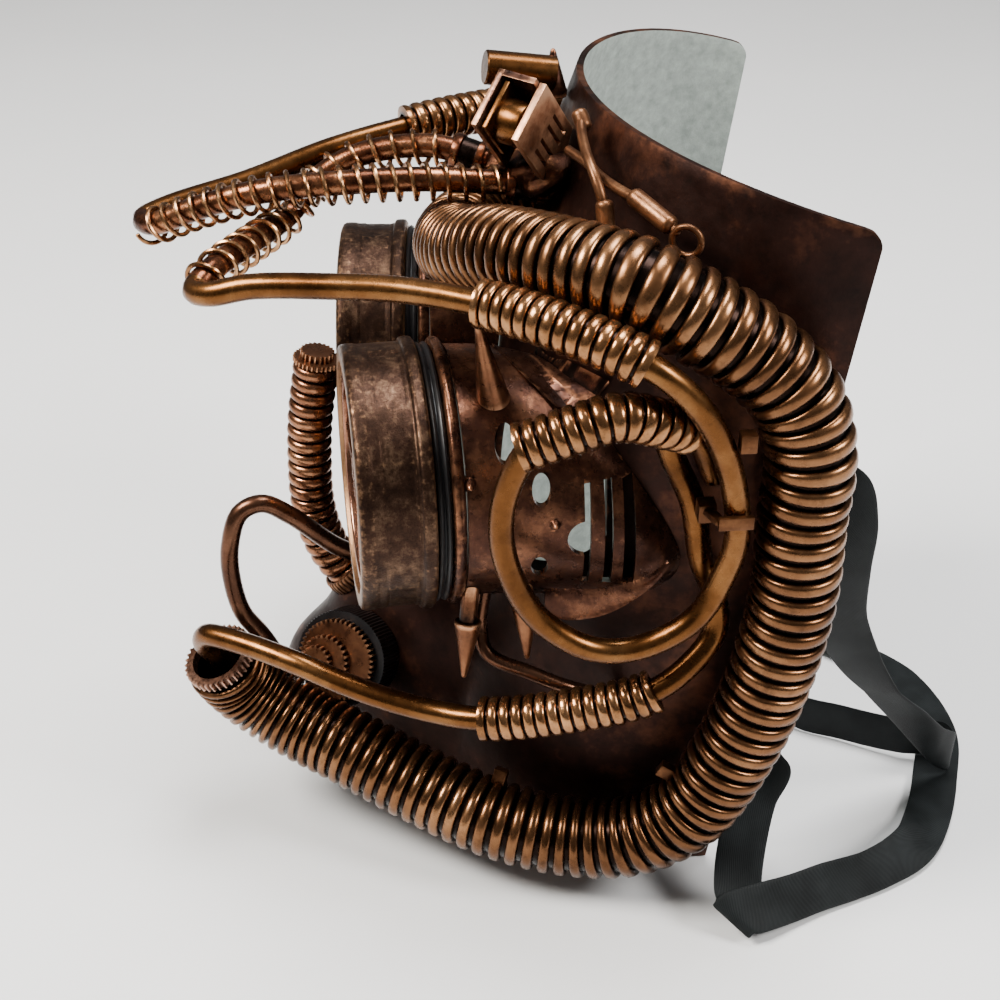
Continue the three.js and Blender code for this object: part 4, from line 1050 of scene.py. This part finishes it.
def build_block():
    plate = loose("connector_plate_form", on_block([2, 18, 26], [13.6, 9, 15]))
    cutters = [loose("cut", on_block([6, 1.3, 10], [13.6, down, 18])) for down in PLATE_SLOTS]
    carve(plate, cutters + [shell_fill])
    discard(*cutters)
    bevel(plate, 0.4)
    finish_piece(plate, plate_copper, "connector_plate")
    yoke = loose("connector_frame_form", on_block([1.8, 18, 24], [0.9, 9, 12]))
    unite(yoke, loose("lid", on_block([11.8, 1.8, 24], [6.3, 0.9, 12])))
    carve(yoke, [shell_fill])
    bevel(yoke, 0.4)
    finish_piece(yoke, block_paint, "connector_frame")
    mid = BLOCK_CORNER + np.array([8, 10.6, 8.4]) @ BLOCK_TURN
    axis = Line([mid - COIL * 3.7, mid + COIL * 3.7], fine=False)
    rows = [[0, 0], [6.4, 0], [6.4, 7.4], [0, 7.4]]
    coil, bobbin = bend_lathe(rows, 40, axis), on_block([1.6, 15, 15], [3.7, 10, 8.4])
    piece("connector_core", join(coil, bobbin), gold, edge=0.3)


build_block()


def lump(middle, size, seed, rough=0.16):
    """A set drop of glue: a rounded mass with an uneven skin."""
    rings, sides = 22, 36
    noise = np.random.default_rng(seed).normal(size=(4, 6))
    a = np.linspace(0.03, math.pi - 0.03, rings)[:, None]
    b = np.arange(sides)[None, :] / sides * 2 * math.pi
    way = np.stack([np.sin(a) * np.cos(b), np.sin(a) * np.sin(b), np.cos(a) * np.ones_like(b)], -1)
    swell = np.ones(way.shape[:2])
    for k, (x, y, z, phase, _, _) in enumerate(noise):
        swell += rough / (1 + 0.4 * k) * np.sin(2.6 * (k + 1) * (way @ [x, y, z]) / 1.6 + 3 * phase)
    return loft(np.asarray(middle, float) + way * swell[..., None] * np.asarray(size, float))


LUMPS = (([3, 8, 212.6], [8, 11, 6], 3), ([11, 6, 213], [7, 8, 6], 8), ([17, 11, 214], [8, 7, 7], 11))
piece("forehead_block", join(*(lump(*row) for row in LUMPS)), glue, cutters=(shell_fill,))
piece("spike_forehead", cone([-10, 17, 228], [-11, 16.5, 242], 4.2), cup_copper,
      cutters=(shell_fill,))
rod = Line([[-6, -4, 238.5], [-8, 16.5, 235.5]], fine=False)
ROD_ROWS = [[0, 0], [4.6, 0], [5, 0.4], [5, 8], [5, 16], [5, rod.length], [0, rod.length]]
piece("forehead_rod", bend_lathe(ROD_ROWS, 36, rod), gold)

FORK_WIRE = [
    [35, 19, 236.5], [40, 18.5, 234.5], [49, 18.5, 232.5], [57, 19.5, 229.5], [61, 21, 225], [62, 22, 221],
]
RING_WIRE = [[36, 15.5, 228], [44, 19.5, 227.3], [53, 22.3, 226.5], [64, 27.4, 226], [68, 30, 226]]


WIRE_R = 1.4
# Terminals, as the two ends and the radius of each stub, and the eyelet at the end of one
FORK_STUBS = (([[34, 18.6, 237.5], [36.5, 19.6, 234.6]], 2.3), ([[61.8, 22, 222.5], [64.2, 22.4, 215]], 2.5),
              ([[64, 22.4, 216], [66.2, 22.1, 210.5]], 1.2))
RING_STUBS = (([[67, 29, 226.2], [77.6, 36.4, 222.6]], 2.6), ([[77, 36, 222.8], [79.6, 38.2, 221.2]], 1.1))
EYELET, EYELET_R, EYELET_WIRE, EYELET_TURN = np.array([81, 40.4, 219.5]), 3.9, 0.9, -0.5


def pipe(rows, radius):
    return round_tube(Line(rows), radius, sides=16, step=0.8)


def eyelet():
    a = np.linspace(0, 2 * math.pi, 40)[:, None]
    side = np.cross(UP, [math.cos(EYELET_TURN), math.sin(EYELET_TURN), 0])
    loop = Line(EYELET + EYELET_R * (np.cos(a) * side + np.sin(a) * UP), fine=False)
    return round_tube(loop, EYELET_WIRE, sides=12, step=0.7)


piece("wire_fork", join(pipe(FORK_WIRE, WIRE_R), *(pipe(*stub) for stub in FORK_STUBS)), wire_copper)
piece("wire_ring", join(pipe(RING_WIRE, WIRE_R), *(pipe(*stub) for stub in RING_STUBS), eyelet()),
      wire_copper)

THIN_ROUTE = [
    [67, -9, 112], [69, -12, 94], [73, -10, 86], [78, 2, 82], [80, 14, 77], [77, 26, 71], [66, 38, 65],
]
piece("thin_tube", pipe(THIN_ROUTE, 2.2), tube_bronze, cutters=(shell_fill, cup_fill[1]))

# Heads of two ties on the inner side of the thick hose: a point of the hose, and the way the head stands.
TIE_HEADS = [
    ("hose_tie_front", [74, -10, 22.5], [-0.35, 0.1, 0.93]),
    ("hose_tie_rear", [92.5, 54, 44], [-0.2, -0.8, 0.5]),
]
TIE_SIZE, TIE_LIFT = [4.4, 3.4, 5], 1.6
for name, point, way in TIE_HEADS:
    at, along, _, _ = hose.at(hose.nearest(point))
    way = unit(np.array(way) - along * np.dot(way, along))
    turn = np.array([along, np.cross(way, along), way])
    piece(name, box(TIE_SIZE, at + way * (HOSE_R + TIE_LIFT), turn), tie_copper, replaced=False,
          edge=0.4)

piece("cable_tie_upper", box([4, 4.4, 5.4], [105, 54.7, 174]), tie_copper, edge=0.4)
piece("cable_tie_ring", join(box([5, 5, 5.6], [94.4, 47.6, 147]),
                             bar([96, 48, 147.6], [105, 49.6, 149.4], 1.6, 3.6),
                             box([1.6, 9.6, 4], [105.3, 53.4, 149.4])), tie_copper, edge=0.35)

# Ribbon straps, one row for each bend: middle, then the line across the ribbon, which is the crease
# where it is folded.
UPPER_STRAP = [
    ([81.4, 73.3, 146], [0, 0, 1]), ([77, 74.5, 146], [0, 0, 1]), ([77.6, 83, 146], [0, 0, 1]),
    ([81, 90, 142], [0, 0.5, 0.85]), ([83.5, 92.5, 132], [0, 0.95, 0.3]), ([84, 92.5, 116], [-0.1, 1, 0.05]),
    ([80, 95, 96], [-0.2, 1, 0]), ([70, 105, 73], [0.4, 0.8, 0.3]), ([62, 117, 54], [0.7, 0.4, 0.5]),
    ([55, 131, 36], [0.55, 0.1, 0.8]), ([49, 145, 18], [0.3, 0, 0.95]), ([44, 152, 11.5], [0.05, 0, 1]),
    ([37, 151, 10.6], [0, 0, 1]), ([32.5, 138, 9.4], [0, 0, 1]), ([22, 120, 8], [0, 0, 1]),
    ([12, 104, 8], [0, 0, 1]), ([-14, 98, 12], [0, 0, 1]), ([-44, 97, 30], [0.4, 0, 0.9]),
    ([-68, 97, 62], [0.5, 0.6, 0.6]), ([-80, 95, 98], [0.2, 1, 0.1]), ([-83.5, 92.5, 128], [0, 0.95, 0.3]),
    ([-81, 90, 141], [0, 0.5, 0.85]), ([-77.6, 83, 146], [0, 0, 1]), ([-77, 74.5, 146], [0, 0, 1]),
    ([-81.4, 73.3, 146], [0, 0, 1]),
]
CREASE = [0.425, 0.705, -0.567]
LOWER_STRAP = [
    ([78.6, 60.5, 44], [0, 0, 1]), ([72.6, 60.9, 44], [0, 0, 1]), ([73.4, 72, 43.5], [0, 0, 1]),
    ([78.5, 76.5, 39], [0.2, 0.6, 0.75]), ([85, 71.5, 31], [0.1, 1, 0.05]), ([96, 66.5, 18], [0.09, 1, 0]),
    ([108.6, 63.2, 7.6], CREASE), ([111, 61.6, 7.2], CREASE), ([110.8, 63.2, 9], CREASE),
    ([104.6, 81.8, 8.6], [0.53, 0, -0.85]), ([100, 93, 8], [0.5, 0, -0.87]),
    ([96, 106, 7.8], [0.4, 0, -0.92]),
    ([91, 116.5, 7.6], [0.45, 0.2, -0.87]), ([82, 128, 6], [0.45, 0.6, -0.6]),
    ([66, 138, 2.6], [0.2, 0.97, -0.1]),
    ([46, 147, 1.2], [0.2, 0.98, 0]), ([20, 155, 1.2], [0.1, 1, 0]), ([-10, 150, 1.6], [-0.35, 0.95, 0]),
    ([-36, 128, 4.4], [-0.6, 0.7, -0.4]), ([-56, 102, 9], [-0.35, 0.3, -0.88]),
    ([-70, 84, 24], [-0.1, 0, -1]),
    ([-73.4, 72, 42], [0, 0, -1]), ([-72.6, 60.9, 44], [0, 0, -1]), ([-78.6, 60.5, 44], [0, 0, -1]),
]


# Places across the ribbon as shares of its half width, with the share of its thickness there
ACROSS = ((-1, 0.35), (-0.93, 0.8), (-0.86, 1), (-0.43, 1), (0, 1), (0.43, 1), (0.86, 1), (0.93, 0.8),
          (1, 0.35))


def ribbon(node, rows):
    per = 14
    middle = spline([r[0] for r in rows], per)
    share = np.arange(len(middle)) / per
    wide = unit(np.stack([np.interp(share, np.arange(len(rows)), [r[1][k] for r in rows])
                          for k in range(3)], -1))
    along = unit(np.gradient(middle, axis=0))
    slant = np.linalg.norm(np.cross(along, wide), axis=1, keepdims=True)
    face = np.cross(along, wide) / slant
    wide = wide / np.maximum(slant, 0.7)
    lines = [middle + wide * k * RIBBON_W / 2 + face * side * thin * RIBBON_T / 2
             for side in (1, -1) for k, thin in ACROSS[::side]]
    obj = loose(f"{node}_form", loft(np.stack(lines, 1)))
    finish_piece(obj, ribbon_black, node, 50)


ribbon("strap_upper", UPPER_STRAP)
ribbon("strap_lower", LOWER_STRAP)
discard(shell_fill, *cup_fill.values())


# Floor, light and camera

FLOOR_HALF, FLOOR_Z = 6.0, -0.0005


def stage():
    floor = plain("floor", (0.63, 0.63, 0.63), (0.66, 0.66, 0.66), scale=3, rough=(0.7, 0.8), bump=0.0)
    mesh = bpy.data.meshes.new("floor")
    corners = [(x * FLOOR_HALF, y * FLOOR_HALF, FLOOR_Z) for x, y in ((-1, -1), (1, -1), (1, 1), (-1, 1))]
    mesh.from_pydata(corners, [], [(0, 1, 2, 3)])
    obj = bpy.data.objects.new("floor", mesh)
    mesh.materials.append(floor)
    bpy.context.scene.collection.objects.link(obj)


def area_light(name, at, target, size, power, colour=(1, 1, 1)):
    data = bpy.data.lights.new(name, "AREA")
    data.shape = "RECTANGLE"
    data.size, data.size_y = size
    data.energy = power
    data.color = colour
    obj = bpy.data.objects.new(name, data)
    obj.location = at
    obj.rotation_mode = "QUATERNION"
    obj.rotation_quaternion = (Vector(target) - Vector(at)).to_track_quat("-Z", "Y")
    bpy.context.scene.collection.objects.link(obj)


def camera():
    azimuth, elevation, distance = math.radians(85), math.radians(32), 0.55
    target = Vector((0, 0.039, 0.094))
    back = Vector((math.sin(azimuth) * math.cos(elevation), -math.cos(azimuth) * math.cos(elevation),
                   math.sin(elevation)))
    right_axis = Vector((math.cos(azimuth), math.sin(azimuth), 0))
    up_axis = back.cross(right_axis)
    data = bpy.data.cameras.new("camera")
    data.sensor_width = 36.0
    data.lens = 59.4
    data.clip_start = 0.02
    obj = bpy.data.objects.new("camera", data)
    obj.matrix_world = Matrix.Translation(target + back * distance) @ Matrix(
        (right_axis, up_axis, back)).transposed().to_4x4()
    bpy.context.scene.collection.objects.link(obj)
    bpy.context.scene.camera = obj


stage()
MIDDLE = (0.0, 0.05, 0.12)
area_light("key", (0.2, -0.75, 1.05), MIDDLE, (0.5, 0.35), 38, (1.0, 0.96, 0.9))
area_light("fill", (0.5, 1.0, 0.9), MIDDLE, (0.4, 0.4), 21, (1.0, 0.98, 0.96))
area_light("top", (-0.1, 0.2, 1.3), MIDDLE, (0.5, 0.5), 26)


def studio():
    """White above, falling to a dark horizon."""
    world = bpy.data.worlds.new("studio")
    world.use_nodes = True
    nodes, links = world.node_tree.nodes, world.node_tree.links
    place = nodes.new("ShaderNodeTexCoord")
    split = nodes.new("ShaderNodeSeparateXYZ")
    links.new(place.outputs["Generated"], split.inputs["Vector"])
    lift = nodes.new("ShaderNodeMapRange")
    links.new(split.outputs["Z"], lift.inputs["Value"])
    for key, value in (("From Min", 0.1), ("From Max", 0.9), ("To Min", 0.12), ("To Max", 0.3)):
        lift.inputs[key].default_value = value
    links.new(lift.outputs["Result"], nodes["Background"].inputs["Strength"])
    nodes["Background"].inputs["Color"].default_value = (1, 1, 1, 1)
    bpy.context.scene.world = world


studio()
camera()
